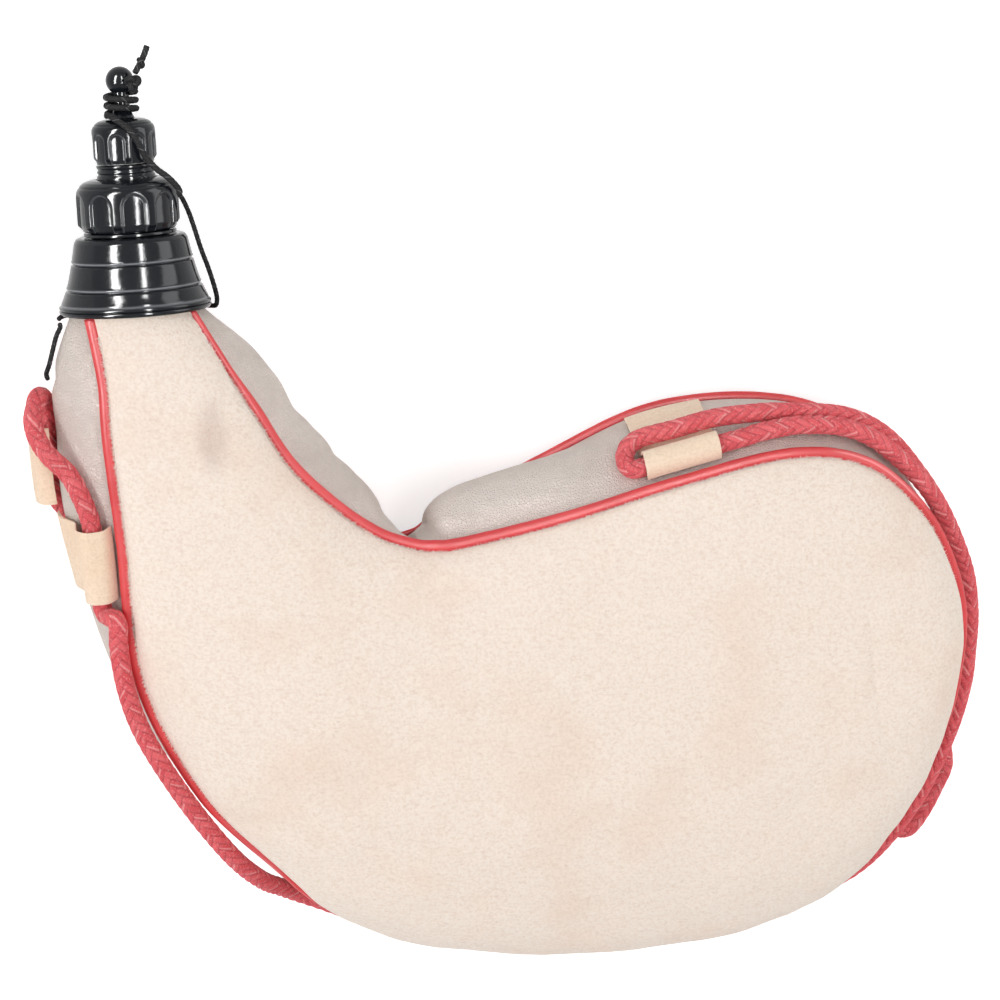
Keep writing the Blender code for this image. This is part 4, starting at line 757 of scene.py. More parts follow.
class Nodes:
    """The nodes of one tree, added and linked by short calls."""

    def __init__(self, tree):
        self.tree = tree

    def add(self, kind, inputs=None, **settings):
        """New node with its settings. Its inputs are linked to sockets or set to values."""
        node = self.tree.nodes.new(kind)
        for name, value in settings.items():
            setattr(node, name, value)
        for key, value in (inputs or {}).items():
            if isinstance(value, bpy.types.NodeSocket):
                self.tree.links.new(value, node.inputs[key])
            else:
                node.inputs[key].default_value = value
        return node

    def math(self, operation, *values):
        inputs = dict(enumerate(values))
        return self.add("ShaderNodeMath", inputs, operation=operation).outputs[0]

    def plus(self, first, second):
        return self.math("ADD", first, second)

    def minus(self, first, second):
        return self.math("SUBTRACT", first, second)

    def times(self, first, second):
        return self.math("MULTIPLY", first, second)

    def vector(self, operation, *values):
        inputs = dict(enumerate(values))
        return self.add("ShaderNodeVectorMath", inputs, operation=operation).outputs

    def noise(self, place, scale, detail=3.0, roughness=0.5, output="Fac"):
        inputs = {"Vector": place, "Scale": scale, "Detail": detail, "Roughness": roughness}
        return self.add("ShaderNodeTexNoise", inputs).outputs[output]

    def combed(self, place, turn, stretch):
        """Coordinates turned about Z and stretched along X."""
        inputs = {"Vector": place, "Rotation": (0.0, 0.0, turn), "Scale": (stretch, 1.0, 1.0)}
        return self.add("ShaderNodeMapping", inputs).outputs[0]

    def mix(self, factor, first, second):
        """Colour between two others, each of them a tuple or a socket."""
        node = self.add("ShaderNodeMix", {"Factor": factor}, data_type="RGBA")
        colours = [socket for socket in node.inputs if socket.type == "RGBA"]
        for socket, value in zip(colours, (first, second)):
            if isinstance(value, tuple):
                socket.default_value = (*value, 1.0)
            else:
                self.tree.links.new(value, socket)
        return [socket for socket in node.outputs if socket.type == "RGBA"][0]

    def spread(self, value, low, high, out_low=0.0, out_high=1.0):
        """A value carried smoothly from one range into another."""
        inputs = {"Value": value, "From Min": low, "From Max": high, "To Min": out_low,
                  "To Max": out_high}
        node = self.add("ShaderNodeMapRange", inputs, interpolation_type="SMOOTHSTEP")
        return node.outputs["Result"]

    def seen(self):
        """1 for rays from the camera, and for those off glossy or through clear surfaces."""
        path = self.add("ShaderNodeLightPath").outputs
        direct = self.math("MAXIMUM", path["Is Camera Ray"], path["Is Glossy Ray"])
        return self.math("MAXIMUM", direct, path["Is Transmission Ray"])


class Group(Nodes):
    """A shader group with one vector input, numbers in and numbers out."""

    def __init__(self, name, vector, **numbers):
        super().__init__(bpy.data.node_groups.new(name, "ShaderNodeTree"))
        add_socket(self.tree, vector, "Vector")
        for label, value in numbers.items():
            add_socket(self.tree, label.replace("_", " "), "Float", value)
        self.inside = self.add("NodeGroupInput").outputs

    def closed(self, values):
        for name in values:
            add_socket(self.tree, name, direction="OUTPUT")
        self.add("NodeGroupOutput", values)
        return self.tree


class Finish(Nodes):
    """A material under construction, with its Principled shader."""

    def __init__(self, name, **values):
        self.material = bpy.data.materials.new(name)
        self.material.use_nodes = True
        super().__init__(self.material.node_tree)
        self.shader = self.tree.nodes["Principled BSDF"]
        for socket, value in values.items():
            value = (*value, 1.0) if isinstance(value, tuple) else value
            self.shader.inputs[socket.replace("_", " ")].default_value = value

    def coordinates(self):
        return self.add("ShaderNodeTexCoord").outputs["Object"]

    def uv(self):
        return self.add("ShaderNodeUVMap", uv_map="sheath").outputs["UV"]

    def group(self, tree, **values):
        inputs = {name.replace("_", " "): value for name, value in values.items()}
        return self.add("ShaderNodeGroup", inputs, node_tree=tree).outputs

    def bump(self, height, distance, **below):
        inputs = {"Height": height, "Distance": distance, "Strength": 1.0, **below}
        return self.add("ShaderNodeBump", inputs).outputs["Normal"]

    def linked(self, **values):
        """The material, with values linked to its shader."""
        for socket, value in values.items():
            self.tree.links.new(value, self.shader.inputs[socket.replace("_", " ")])
        return self.material


# Patterns

def make_nap_group():
    """Brushed nap: fine fibres, soft tufts and mottling on a piece's own coordinates."""
    made = Group("brushed_nap", "Vector", Fibre_scale=900.0, Patch_scale=28.0)
    place = made.inside["Vector"]
    scale = made.inside["Fibre scale"]
    fine = made.noise(place, scale, 4.0, 0.65)
    combed = made.noise(made.combed(place, 0.9, 0.35), scale, 3.0, 0.6)
    tufts = made.noise(place, made.times(scale, 0.8), 3.0, 0.6)
    patches = made.noise(place, made.inside["Patch scale"], 4.0, 0.55)
    fibres = made.plus(made.times(fine, 0.5), made.times(combed, 0.5))
    height = made.plus(made.times(fibres, 0.6), made.times(tufts, 0.8))
    return made.closed({"Fibres": fibres, "Tufts": tufts, "Patches": patches,
                        "Height": height})


def make_grain_group():
    """Pebbled leather grain: cells with creases between them, and long soft wrinkles."""
    made = Group("leather_grain", "Vector", Grain_scale=1000.0)
    place = made.inside["Vector"]
    warp = made.noise(place, 260.0, 2.0, output="Color")
    warped = made.vector("MULTIPLY_ADD", warp, (0.0012, 0.0012, 0.0012), place)[0]
    cells = made.add("ShaderNodeTexVoronoi",
                     {"Vector": warped, "Scale": made.inside["Grain scale"]},
                     feature="DISTANCE_TO_EDGE")
    creases = made.spread(cells.outputs["Distance"], 0.0, 0.22)
    wrinkles = made.noise(made.combed(place, -0.7, 0.4), 330.0, 3.0, 0.55)
    height = made.plus(made.times(creases, 0.45), made.times(wrinkles, 1.2))
    return made.closed({"Creases": creases, "Mottle": made.noise(place, 42.0, 4.0, 0.6),
                        "Height": height})


def make_braid_group():
    """Braided sheath read off a UV map: U once round the cord, V one strand's pitch along it."""
    made = Group("braided_sheath", "UV", Strands=8.0, Yarns=4.0)
    split = made.add("ShaderNodeSeparateXYZ", {0: made.inside["UV"]}).outputs
    around = made.times(split[0], made.inside["Strands"])
    right = made.plus(around, split[1])
    left = made.minus(around, split[1])
    right_index = made.math("FLOOR", right)
    left_index = made.math("FLOOR", left)
    turn = made.math("FLOORED_MODULO", made.plus(right_index, left_index), 4.0)
    right_on_top = made.math("LESS_THAN", turn, 1.5)
    left_on_top = made.minus(1.0, right_on_top)

    def choose(first, second):
        return made.plus(made.times(first, right_on_top), made.times(second, left_on_top))

    across = choose(made.minus(right, made.plus(right_index, 0.5)),
                    made.minus(left, made.plus(left_index, 0.5)))
    along = choose(left, right)
    index = choose(right_index, left_index)
    squared = made.times(made.times(across, across), 4.0)
    crown = made.math("SQRT", made.minus(1.02, squared))
    twist = made.plus(made.times(across, made.inside["Yarns"]), made.times(along, 1.5))
    yarn = made.math("ABSOLUTE", made.math("SINE", made.times(twist, math.pi)))
    kind = made.math("FLOORED_MODULO", made.plus(index, right_on_top), 4.0)
    line = made.spread(made.math("ABSOLUTE", made.minus(across, 0.16)), 0.07, 0.16, 1.0, 0.0)
    return made.closed({
        "Height": made.plus(crown, made.times(yarn, 0.16)),
        # Painted shade where the strands dip apart
        "Gap shade": made.spread(crown, 0.30, 0.78, 1.0, 0.0),
        "Tracer": made.times(made.math("LESS_THAN", kind, 0.5), line),
        "Strand tint": made.math("FRACT", made.times(index, 0.37)),
    })


NAP = make_nap_group()
GRAIN = make_grain_group()
BRAID = make_braid_group()


# Finishes

def patch_mask(made, place, centre, reach):
    """1 inside a soft, uneven patch round a place, 0 outside it."""
    scaled = made.vector("DIVIDE", made.vector("SUBTRACT", place, centre)[0], reach)[0]
    length = made.vector("LENGTH", scaled)["Value"]
    return made.spread(made.plus(length, made.noise(place, 160.0)), 1.6, 0.9)


def suede_finish(name, pale, blush, shade, fibre_scale, depth, marked=False):
    made = Finish(name, Roughness=0.95, Sheen_Weight=0.25, Sheen_Roughness=0.5,
                  Specular_IOR_Level=0.2)
    place = made.coordinates()
    nap = made.group(NAP, Vector=place, Fibre_scale=fibre_scale)
    colour = made.mix(made.spread(nap["Patches"], 0.45, 0.72), pale, blush)
    colour = made.mix(made.spread(nap["Tufts"], 0.60, 0.32, 0.0, 0.30), colour, shade)
    colour = made.mix(made.spread(nap["Fibres"], 0.52, 0.36, 0.0, 0.36), colour, shade)
    relief = made.bump(nap["Height"], depth)
    if marked:
        inside = patch_mask(made, place, SUEDE_MARK_CENTRE, SUEDE_MARK_REACH)
        grain = made.group(GRAIN, Vector=place, Grain_scale=1500.0)
        lines = made.spread(grain["Creases"], 0.5, 0.0, 0.14, 0.50)
        colour = made.mix(made.times(inside, lines), colour, SUEDE_MARK_TINT)
        relief = made.bump(made.times(inside, grain["Height"]), 0.0003, Normal=relief)
    return made.linked(Base_Color=colour, Normal=relief)


def grain_finish():
    made = Finish("pale_grain_leather", Roughness=0.55, Specular_IOR_Level=0.35)
    grain = made.group(GRAIN, Vector=made.coordinates(), Grain_scale=1050.0)
    mottled = made.mix(made.spread(grain["Mottle"], 0.35, 0.7), GRAIN_PALE, GRAIN_DARK_AND_CREASE_SHADE)
    # Painted shade: the creases between the pebbles are darkened towards the darker grain colour
    crease_shaded = made.mix(made.spread(grain["Creases"], 0.5, 0.0, 0.0, 0.50), mottled, GRAIN_DARK_AND_CREASE_SHADE)
    return made.linked(Base_Color=crease_shaded, Normal=made.bump(grain["Height"], 0.00040),
                       Roughness=made.spread(grain["Mottle"], 0.3, 0.7, 0.46, 0.62))


def vinyl_finish():
    made = Finish("red_vinyl_piping", Roughness=0.42, Specular_IOR_Level=0.22,
                  Coat_Roughness=0.12)
    place = made.coordinates()
    drift = made.spread(made.noise(place, 60.0), 0.35, 0.65)
    return made.linked(
        Base_Color=made.mix(drift, VINYL_DARK, VINYL_PALE),
        Roughness=made.spread(made.noise(place, 900.0, 2.0), 0.3, 0.7, 0.36, 0.50),
        Coat_Weight=made.spread(made.noise(place, 18.0, 2.0), 0.56, 0.68, 0.0, 0.8),
        Normal=made.bump(made.noise(place, 420.0), 0.00008))


def cord_finish():
    made = Finish("red_braided_cord", Roughness=0.8, Sheen_Weight=0.12, Sheen_Roughness=0.4,
                  Specular_IOR_Level=0.15)
    braid = made.group(BRAID, UV=made.uv(), Strands=float(CARRY_STRANDS))
    fuzz = made.noise(made.coordinates(), 1500.0, 4.0, 0.65)
    yarn = made.mix(braid["Strand tint"], CORD_DARK, CORD_PALE)
    fuzzy = made.mix(made.spread(fuzz, 0.50, 0.70, 0.0, 0.60), yarn, CORD_FUZZ)
    # Painted shade in the gaps between the strands
    gap_shaded = made.mix(made.times(braid["Gap shade"], 0.45), fuzzy, CORD_GAP_SHADE)
    traced = made.mix(made.times(braid["Tracer"], 0.30), gap_shaded, CORD_TRACER)
    relief = made.plus(braid["Height"], made.times(fuzz, 0.9))
    return made.linked(Base_Color=traced, Normal=made.bump(relief, 0.00032))


def tether_finish():
    made = Finish("black_tether_cord", Roughness=0.75, Specular_IOR_Level=0.10)
    braid = made.group(BRAID, UV=made.uv(), Strands=4.0, Yarns=3.0)
    fuzz = made.noise(made.coordinates(), 4200.0, 2.0, 0.6)
    yarn = made.mix(made.spread(fuzz, 0.4, 0.7), TETHER_DARK, TETHER_PALE)
    flecked = made.mix(made.times(braid["Tracer"], 0.30), yarn, TETHER_TRACER)
    # Painted shade in the gaps between the strands
    return made.linked(Base_Color=made.mix(braid["Gap shade"], flecked, TETHER_GAP_SHADE),
                       Normal=made.bump(braid["Height"], 0.00022))


def plastic_finish():
    made = Finish("black_moulded_plastic", Roughness=0.12, IOR=1.5, Specular_IOR_Level=0.20)
    place = made.coordinates()
    dark = made.mix(made.noise(place, 120.0), PLASTIC_DARK, PLASTIC_PALE)
    # Painted highlight: pale grey on groove ridges and flute edges, read from a vertex attribute
    painted_highlight = made.add("ShaderNodeAttribute", attribute_name="painted_highlight").outputs["Fac"]
    return made.linked(
        Base_Color=made.mix(painted_highlight, dark, PLASTIC_HIGHLIGHT),
        Roughness=made.spread(made.noise(place, 1500.0, 3.0, 0.6), 0.3, 0.75, 0.09, 0.16),
        Normal=made.bump(made.noise(place, 700.0, 4.0, 0.6), 0.000035))


def rubber_finish(name, pale, dark, roughness):
    made = Finish(name, Roughness=roughness)
    place = made.coordinates()
    cloud = made.noise(place, 180.0, 4.0, 0.6)
    return made.linked(
        Base_Color=made.mix(made.spread(cloud, 0.35, 0.7), pale, dark),
        Roughness=made.spread(cloud, 0.3, 0.7, roughness - 0.08, roughness + 0.1),
        Normal=made.bump(made.noise(place, 1400.0), 0.00006))


def twine_finish():
    made = Finish("waxed_twine", Roughness=0.7, Sheen_Weight=0.2)
    fuzz = made.noise(made.coordinates(), 2600.0, 3.0, 0.6)
    return made.linked(Base_Color=made.mix(fuzz, TWINE_DARK, TWINE_PALE),
                       Normal=made.bump(fuzz, 0.0002))


SUEDE = suede_finish("brushed_suede", SUEDE_PALE, SUEDE_BLUSH, SUEDE_SHADE, 1250.0, 0.0007, True)
FIBRES = Finish("suede_fibres", Base_Color=FIBRE_COLOUR, Roughness=0.95,
                Specular_IOR_Level=0.2).material
TAN = suede_finish("tan_split_leather", TAN_PALE, TAN_BLUSH, TAN_SHADE, 1300.0, 0.00022)
GRAIN_LEATHER = grain_finish()
VINYL = vinyl_finish()
RED_CORD = cord_finish()
BLACK_CORD = tether_finish()
BLACK_PLASTIC = plastic_finish()
LATEX = rubber_finish("latex_bladder", LATEX_PALE, LATEX_DARK, 0.42)
SEAL_RUBBER = rubber_finish("seal_rubber", RUBBER_PALE, RUBBER_DARK, 0.6)
TWINE = twine_finish()


# Leather pieces

def panel_grid(surface, angle_from, angle_to, inset):
    """Points of a panel: rows across it from the neck to the tip, folded in under the collar."""
    half = int(LAST_STATION * STEPS_PER_STATION / 2)
    places = np.arange(half + 1) / STEPS_PER_STATION
    shares = np.linspace(0, 1, PANEL_COLUMNS + 1)
    place, share = np.meshgrid(places, shares, indexing="ij")
    left = surface(place, share)
    right = surface(LAST_STATION - place, share)
    margin = inset / NECK_RADIUS * (1 if angle_to > angle_from else -1)
    across = np.linspace(angle_from + margin, angle_to - margin, 2 * PANEL_COLUMNS + 1)
    grid = np.concatenate([left, right[:, ::-1][:, 1:]], 1)
    return np.concatenate([fold_grid(across), grid], 0)


def fold_grid(angles, reduction=0.0):
    """Rows of the leather neck inside the collar, from its top end down to the rim."""
    rows = [[share, drawn] for share, drawn in reversed(NECK_FOLD_SHARES)] + [[0.0, 0.0]]
    steps = spline(rows, np.linspace(0, len(rows) - 1, FOLD_ROWS))[:-1]
    grid = []
    for share, drawn in steps:
        drawn = min(max(drawn, 0.0), 1.0)
        radius = NECK_RADIUS + (CLAMP_RADIUS - NECK_RADIUS) * drawn - reduction
        grid.append(neck_points(angles, radius, share * COLLAR_HEIGHT))
    return np.array(grid)


def make_suede_front():
    grid = panel_grid(front_panel_points, -NECK_SEAM_ANGLE, NECK_SEAM_ANGLE, SUEDE_INSET)
    normals = grid_normals(grid)
    normals *= np.sign(normals[..., 2:3] + 1e-9)
    rows, columns = grid.shape[:2]
    across = np.linspace(0, 1, columns)
    free = smooth(np.arange(rows) / SUEDE_CALM_ROWS - 0.4)[:, None]
    free = free * smooth(np.minimum(across, 1 - across) * SUEDE_CALM_SHARE)[None, :]
    grid = grid + normals * (unevenness(grid, SUEDE_WAVES) * free)[..., None]
    rim = np.zeros(columns)
    rim[0] = rim[-1] = 1.0
    edge = unevenness(grid, SUEDE_EDGE_WAVES) * rim[None, :]
    grid = grid + unit(np.gradient(grid, axis=1)) * edge[..., None]
    made = sheet_body("suede_front", grid, PANEL_THICKNESS, SUEDE)
    return finished(made, "bag", "suede", "front_panel")


def make_leather_back():
    grid = panel_grid(back_panel_points, NECK_SEAM_ANGLE - math.pi, -NECK_SEAM_ANGLE - math.pi,
                      PANEL_INSET)
    made = sheet_body("leather_back", grid, PANEL_THICKNESS, GRAIN_LEATHER)
    return finished(made, "bag", "grain_leather", "back_panel")


def gusset_grid():
    places = np.arange(LAST_STATION * STEPS_PER_STATION + 1) / STEPS_PER_STATION
    shares = np.linspace(0, 1, GUSSET_COLUMNS + 1)
    place, share = np.meshgrid(places, shares, indexing="ij")
    grid = gusset_points(place, share)
    normals = unit(np.cross(np.gradient(grid, axis=1), np.gradient(grid, axis=0)))
    free = smooth(np.minimum(share, 1 - share) * 5) * smooth(1.6 - neck_share(place) * 2)
    lift = unevenness(grid, GUSSET_WAVES)
    near_keeper = np.zeros(place.shape)
    for keeper in (KEEPER_TOP_PLACE, KEEPER_LEFT_PLACE, KEEPER_NECK_PLACE):
        near_keeper = np.maximum(near_keeper, bump_at(place, keeper, 0.9))
    lift *= 1 - near_keeper
    for centre, width, depth, lean in GUSSET_CREASES:
        at = centre + lean * (share - 0.5)
        lift -= depth * bump_at(place, at, width) * np.sin(math.pi * share)
    first, last = CORD_SIDE_PLACES
    cord_side = smooth((last - place) * 2) * smooth((place - first) * 2)
    lift = np.where(lift > 0, lift * (1 - cord_side), lift)
    return grid + normals * (lift * free)[..., None]


def make_gusset_wall():
    inset = GUSSET_INSET / NECK_RADIUS
    top = NECK_SEAM_ANGLE + inset
    bottom = math.pi - NECK_SEAM_ANGLE - inset
    angles = np.linspace(top, bottom, GUSSET_COLUMNS + 1)
    grid = np.concatenate([fold_grid(-angles), gusset_grid(), fold_grid(angles)[::-1]], 0)
    made = sheet_body("gusset_wall", grid, GUSSET_THICKNESS, GRAIN_LEATHER)
    return finished(made, "bag", "grain_leather", "gusset")


def side_points(place):
    points = gusset_points(place, np.full(np.shape(place), 0.5))
    points[..., 2] = front_seam(place)[..., 2]
    return points


def make_bladder():
    """Latex bladder inside the leather: one bag that is open only at the neck."""
    angles = np.linspace(0, 2 * math.pi, BLADDER_SIDES, endpoint=False)
    reduction = (PANEL_THICKNESS + BLADDER_THICKNESS) / 2 + 2 * CLEARANCE
    rows = list(fold_grid(angles, reduction))
    rows.append(neck_points(angles, NECK_RADIUS - BLADDER_NECK_INSET - reduction, 0.0))
    for station in np.linspace(1, BLADDER_END_STATION, BLADDER_ROWS):
        outer, inner = side_points(np.array([station, LAST_STATION - station]))
        reach = front_seam(TIP_STATION)[0] - middle(front_seam, station)[0] - BLADDER_INSET
        closing = 1 - min(reach / BLADDER_TIP_LENGTH, 1)
        taper = math.sqrt(1 - closing * closing)
        half = (np.linalg.norm(inner - outer) / 2 - BLADDER_INSET) * math.sqrt(taper)
        crown = spline(CROWN_ROWS, crown_station(station))[0] - BLADDER_INSET
        across = unit(inner - outer) * np.array([1, 1, 0])
        side = np.sin(angles)
        upright = np.cos(angles)
        height = (outer[2] + (inner[2] - outer[2]) * (side + 1) / 2 + BACK_SEAM_HEIGHT) / 2
        lift = np.where(upright > 0, crown - height, height - BLADDER_INSET)
        ring = (outer + inner) / 2 + across * (side * half)[:, None]
        ring[:, 2] = height + lift * upright * taper
        rows.append(ring)
    grid = np.array(rows)
    made = add_object("latex_bladder", grid, grid_faces(len(grid), BLADDER_SIDES, False, True),
                      LATEX)
    rework(made, end_ring=BLADDER_SIDES)
    solid = made.modifiers.new("thickness", "SOLIDIFY")
    solid.thickness = BLADDER_THICKNESS
    solid.offset = 0
    apply_modifiers(made)
    made.data.shade_smooth()
    return finished(made, "bag", "latex", "bladder")


def along_seam(place, distance):
    """Place on the front seam at a distance from another place."""
    places = place + np.linspace(-2, 2, 801)
    travelled = distances(front_seam(places))
    travelled -= travelled[len(places) // 2]
    return float(np.interp(distance, travelled, places))


def make_keeper(name, node, centre, outline):
    """Leather loop stitched across the gusset, standing off it to let the cord through."""
    first = along_seam(centre, -KEEPER_WIDTH / 2)
    last = along_seam(centre, KEEPER_WIDTH / 2)
    rest = (GUSSET_THICKNESS + KEEPER_THICKNESS) / 2 + 2 * CLEARANCE
    spans = len(outline) - 1
    rows = spline(outline, np.linspace(0, spans, KEEPER_ROWS * spans + 1))
    place, index = np.meshgrid(np.linspace(first, last, KEEPER_COLUMNS), np.arange(len(rows)),
                               indexing="ij")
    share = rows[:, 0][index]
    rise = np.maximum(rows[:, 1][index], 0)
    grid = above_gusset(place, share, rest + rise * KEEPER_STAND_OFF)
    made = sheet_body(name, grid, KEEPER_THICKNESS, TAN, 0.0004)
    return finished(made, "bag", "tan_leather", node)


# Cords and piping

def dense_route(route, spacing):
    """Evenly spaced points on the smooth curve through a route."""
    spans = len(route) - 1
    fine = spline(route, np.linspace(0, spans, spans * 60 + 1))
    travelled = distances(fine)
    count = max(int(round(travelled[-1] / spacing)), 4)
    return at_distances(np.linspace(0, travelled[-1], count + 1), travelled, fine)


def frames_along(points):
    """Directions square to a line at each point, turned as little as possible along it."""
    ahead = unit(np.gradient(points, axis=0))
    side = unit(np.cross(ahead[0], [0.31, 0.17, 0.93]))
    sides = [side]
    for direction in ahead[1:]:
        side = side - direction * (side @ direction)
        side = side / np.linalg.norm(side)
        sides.append(side)
    sides = np.array(sides)
    return sides, np.cross(ahead, sides)


def cord_mesh(name, points, radius, sides, finish, relief=None, strand_pitch=1.0, taper=None,
              closed=False):
    """Closed tube along a line, with its relief and a UV map that follows the strands."""
    count = len(points)
    last = (count - 1) * sides
    base = count * sides
    travelled = distances(points)
    angle = np.linspace(0, 2 * math.pi, sides, endpoint=False)
    side, other = frames_along(points)
    size = np.full((count, sides), float(radius))
    if taper is not None:
        size = size * taper[:, None]
    if relief is not None:
        around, along = np.meshgrid(angle / (2 * math.pi), travelled / strand_pitch)
        size = size * (1 + relief(around, along))
    ring = (np.cos(angle)[None, :, None] * side[:, None, :]
            + np.sin(angle)[None, :, None] * other[:, None, :])
    vertices = (points[:, None, :] + ring * size[..., None]).reshape(-1, 3)
    faces = grid_faces(count, sides, closed, True)
    if not closed:
        vertices = np.concatenate([vertices, points[:1], points[-1:]])
        for c in range(sides):
            d = (c + 1) % sides
            faces.append((base, d, c))
            faces.append((base + 1, last + c, last + d))
    made = add_object(name, vertices, faces, finish)
    layer = made.data.uv_layers.new(name="sheath")
    values = []
    for face in faces:
        columns = [index % sides for index in face]
        wraps = max(columns) - min(columns) > sides / 2
        for index in face:
            if index >= base:
                values += [0.5, travelled[0 if index == base else -1] / strand_pitch]
                continue
            column = index % sides
            u = (column + sides if wraps and column < sides / 2 else column) / sides
            values += [u, travelled[index // sides] / strand_pitch]
    layer.data.foreach_set("uv", values)
    rework(made)
    return made


def braid_relief(strands, depth):
    """Over and under relief of a braid, with two strands passed at a time."""
    def relief(around, along):
        right = around * strands + along
        left = around * strands - along
        right_on_top = np.mod(np.floor(right) + np.floor(left), 4) < 1.5
        across = np.where(right_on_top, right - np.floor(right), left - np.floor(left)) - 0.5
        crown = np.sqrt(np.maximum(1 - 4 * across * across, 0))
        return depth * (crown - 0.7)
    return relief


def twist_relief(strands, depth):
    def relief(around, along):
        phase = np.mod(around * strands + along, 1.0) - 0.5
        return depth * (np.sqrt(np.maximum(1 - 3.4 * phase * phase, 0)) - 0.75)
    return relief


CARRY_LINE = dense_route([(x + PLAN_SHIFT_X, y + PLAN_SHIFT_Y, z) for x, y, z in CARRY_ROUTE],
                         BRAID_STEP)


def knot_line(centre, reach, flat, turn, count=150):
    """Closed line of a plain overhand knot, drawn tight, lying flat across one direction."""
    t = np.linspace(0, 2 * math.pi, count, endpoint=False)
    local = np.stack([np.sin(t) + 2 * np.sin(2 * t), np.cos(t) - 2 * np.cos(2 * t),
                      -1.25 * np.sin(3 * t)], -1) * reach
    across = unit(np.cross(flat, turn))
    third = np.cross(across, unit(flat))
    axes = np.stack([across, third, unit(flat)])
    return centre + local @ axes


def make_carry_cord():
    cord = cord_mesh("carry_cord_braid", CARRY_LINE, CARRY_RADIUS, BRAID_SIDES, RED_CORD,
                     braid_relief(CARRY_STRANDS, BRAID_RELIEF), CARRY_STRAND_PITCH)
    centre = np.array([CARRY_KNOT_PLACE[0] + PLAN_SHIFT_X, CARRY_KNOT_PLACE[1] + PLAN_SHIFT_Y,
                       CARRY_KNOT_PLACE[2]])
    line = knot_line(centre, CARRY_KNOT_REACH, UP, CARRY_KNOT_TURN)
    knot = cord_mesh("carry_cord_tie", line, CARRY_RADIUS * CARRY_KNOT_SHARE, KNOT_SIDES,
                     RED_CORD, braid_relief(CARRY_STRANDS, KNOT_RELIEF), CARRY_STRAND_PITCH,
                     closed=True)
    finished(cord, "bag", "red_cord", "carry_cord")
    finished(knot, "bag", "red_cord", "carry_cord_knot")


def neck_route(rows):
    rows = np.asarray(rows, float)
    return neck_points(np.radians(rows[:, 0]), rows[:, 1], rows[:, 2])


def tether_strand(name, line, radius, sides=TETHER_SIDES, closed=False):
    relief = twist_relief(TETHER_STRANDS, TETHER_RELIEF)
    return cord_mesh(name, line, radius, sides, BLACK_CORD, relief, TETHER_STRAND_PITCH,
                     closed=closed)


def make_tether():
    upper = [TETHER_LOWER_ROUTE[0], *TETHER_UPPER_ROUTE]
    for index in range(int(TETHER_WRAP_TURNS * TETHER_WRAP_STEPS) + 1):
        turns = index / TETHER_WRAP_STEPS
        upper.append((TETHER_WRAP_START - 360 * turns, TETHER_WRAP_RADIUS,
                      TETHER_WRAP_BOTTOM + turns * TETHER_WRAP_PITCH))
    lower = list(TETHER_LOWER_ROUTE)
    for index in range(TETHER_LOOP_POINTS + 1):
        angle = TETHER_LOOP_START + TETHER_LOOP_SWEEP * index / TETHER_LOOP_POINTS
        swell = TETHER_LOOP_SWELL * max(math.sin(math.radians(angle)), 0) ** 2
        lower.append((angle, TETHER_LOOP_RADIUS + swell, -LOOP_DROP))
    upper_line, lower_line, tail_line, end_line = [
        dense_route(neck_route(route), TETHER_STEP)
        for route in (upper, lower, TETHER_TAIL_ROUTE, TETHER_END_ROUTE)]
    knot_place, stop_place = neck_route([TETHER_KNOT_PLACE, TETHER_STOP_PLACE])
    knot_loop = knot_line(knot_place, TETHER_KNOT_REACH, NECK_UP, NECK_AXIS, 110)
    stop_loop = knot_line(stop_place, TETHER_STOP_REACH, NECK_SIDE, NECK_AXIS, 90)
    upper_cord = tether_strand("tether_to_cap", upper_line, TETHER_RADIUS)
    lower_cord = tether_strand("tether_round_collar", lower_line, TETHER_LOWER_RADIUS)
    tail = tether_strand("tether_frayed_tail", tail_line, TETHER_RADIUS)
    end = tether_strand("tether_hanging_end", end_line, TETHER_LOWER_RADIUS)
    knot = tether_strand("tether_stem_knot", knot_loop, TETHER_RADIUS * 0.95, 14, True)
    stop = tether_strand("tether_stop_knot", stop_loop, TETHER_RADIUS * 0.75, 12, True)
    finished(lower_cord, None, "black_cord", "tether_lower")
    finished(upper_cord, None, "black_cord", "tether_upper")
    for piece, nodes in ((tail, ("tether_tail",)), (knot, ("tether_knot",)), (stop, ())):
        finished(piece, "cap_seal", "black_cord", *nodes)
    finished(end, "bag", "black_cord", "tether_loose_end")
    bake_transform(upper_cord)
    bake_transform(lower_cord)


def below_collar(seam, drop):
    """First and last place on a seam that lie at least a drop below the collar."""
    places = np.linspace(0, LAST_STATION, int(LAST_STATION / SEAM_STEP) + 1)
    free = places[neck_heights(seam(places)) <= -drop]
    return free[0], free[-1]


def make_piping(name, node, seam, drop, tucked):
    """Glossy covered cord along a seam, uneven along it and thinner or thicker at the listed places.
    """
    places = np.linspace(*below_collar(seam, drop), 1400)
    points = seam(places)
    travelled = distances(points)
    even = np.linspace(0, travelled[-1], int(travelled[-1] / PIPING_STEP) + 1)
    line = at_distances(even, travelled, points)
    place = np.interp(even, travelled, places)
    taper = 1 + unevenness(line, PIPING_WAVES)
    if tucked:
        start, width, share = FRONT_PIPING_TUCK
        taper = taper * (1 - share * smooth((place - start) / width))
        centre, width, share = FRONT_PIPING_SWELL
        taper = taper * (1 + share * bump_at(place, centre, width))
    else:
        centre, width, share = BACK_PIPING_TUCK
        taper = taper * (1 - share * bump_at(place, centre, width))
    made = cord_mesh(name, line, PIPING_RADIUS, PIPING_SIDES, VINYL, None, 0.01, taper)
    return finished(made, "bag", "red_vinyl", node)


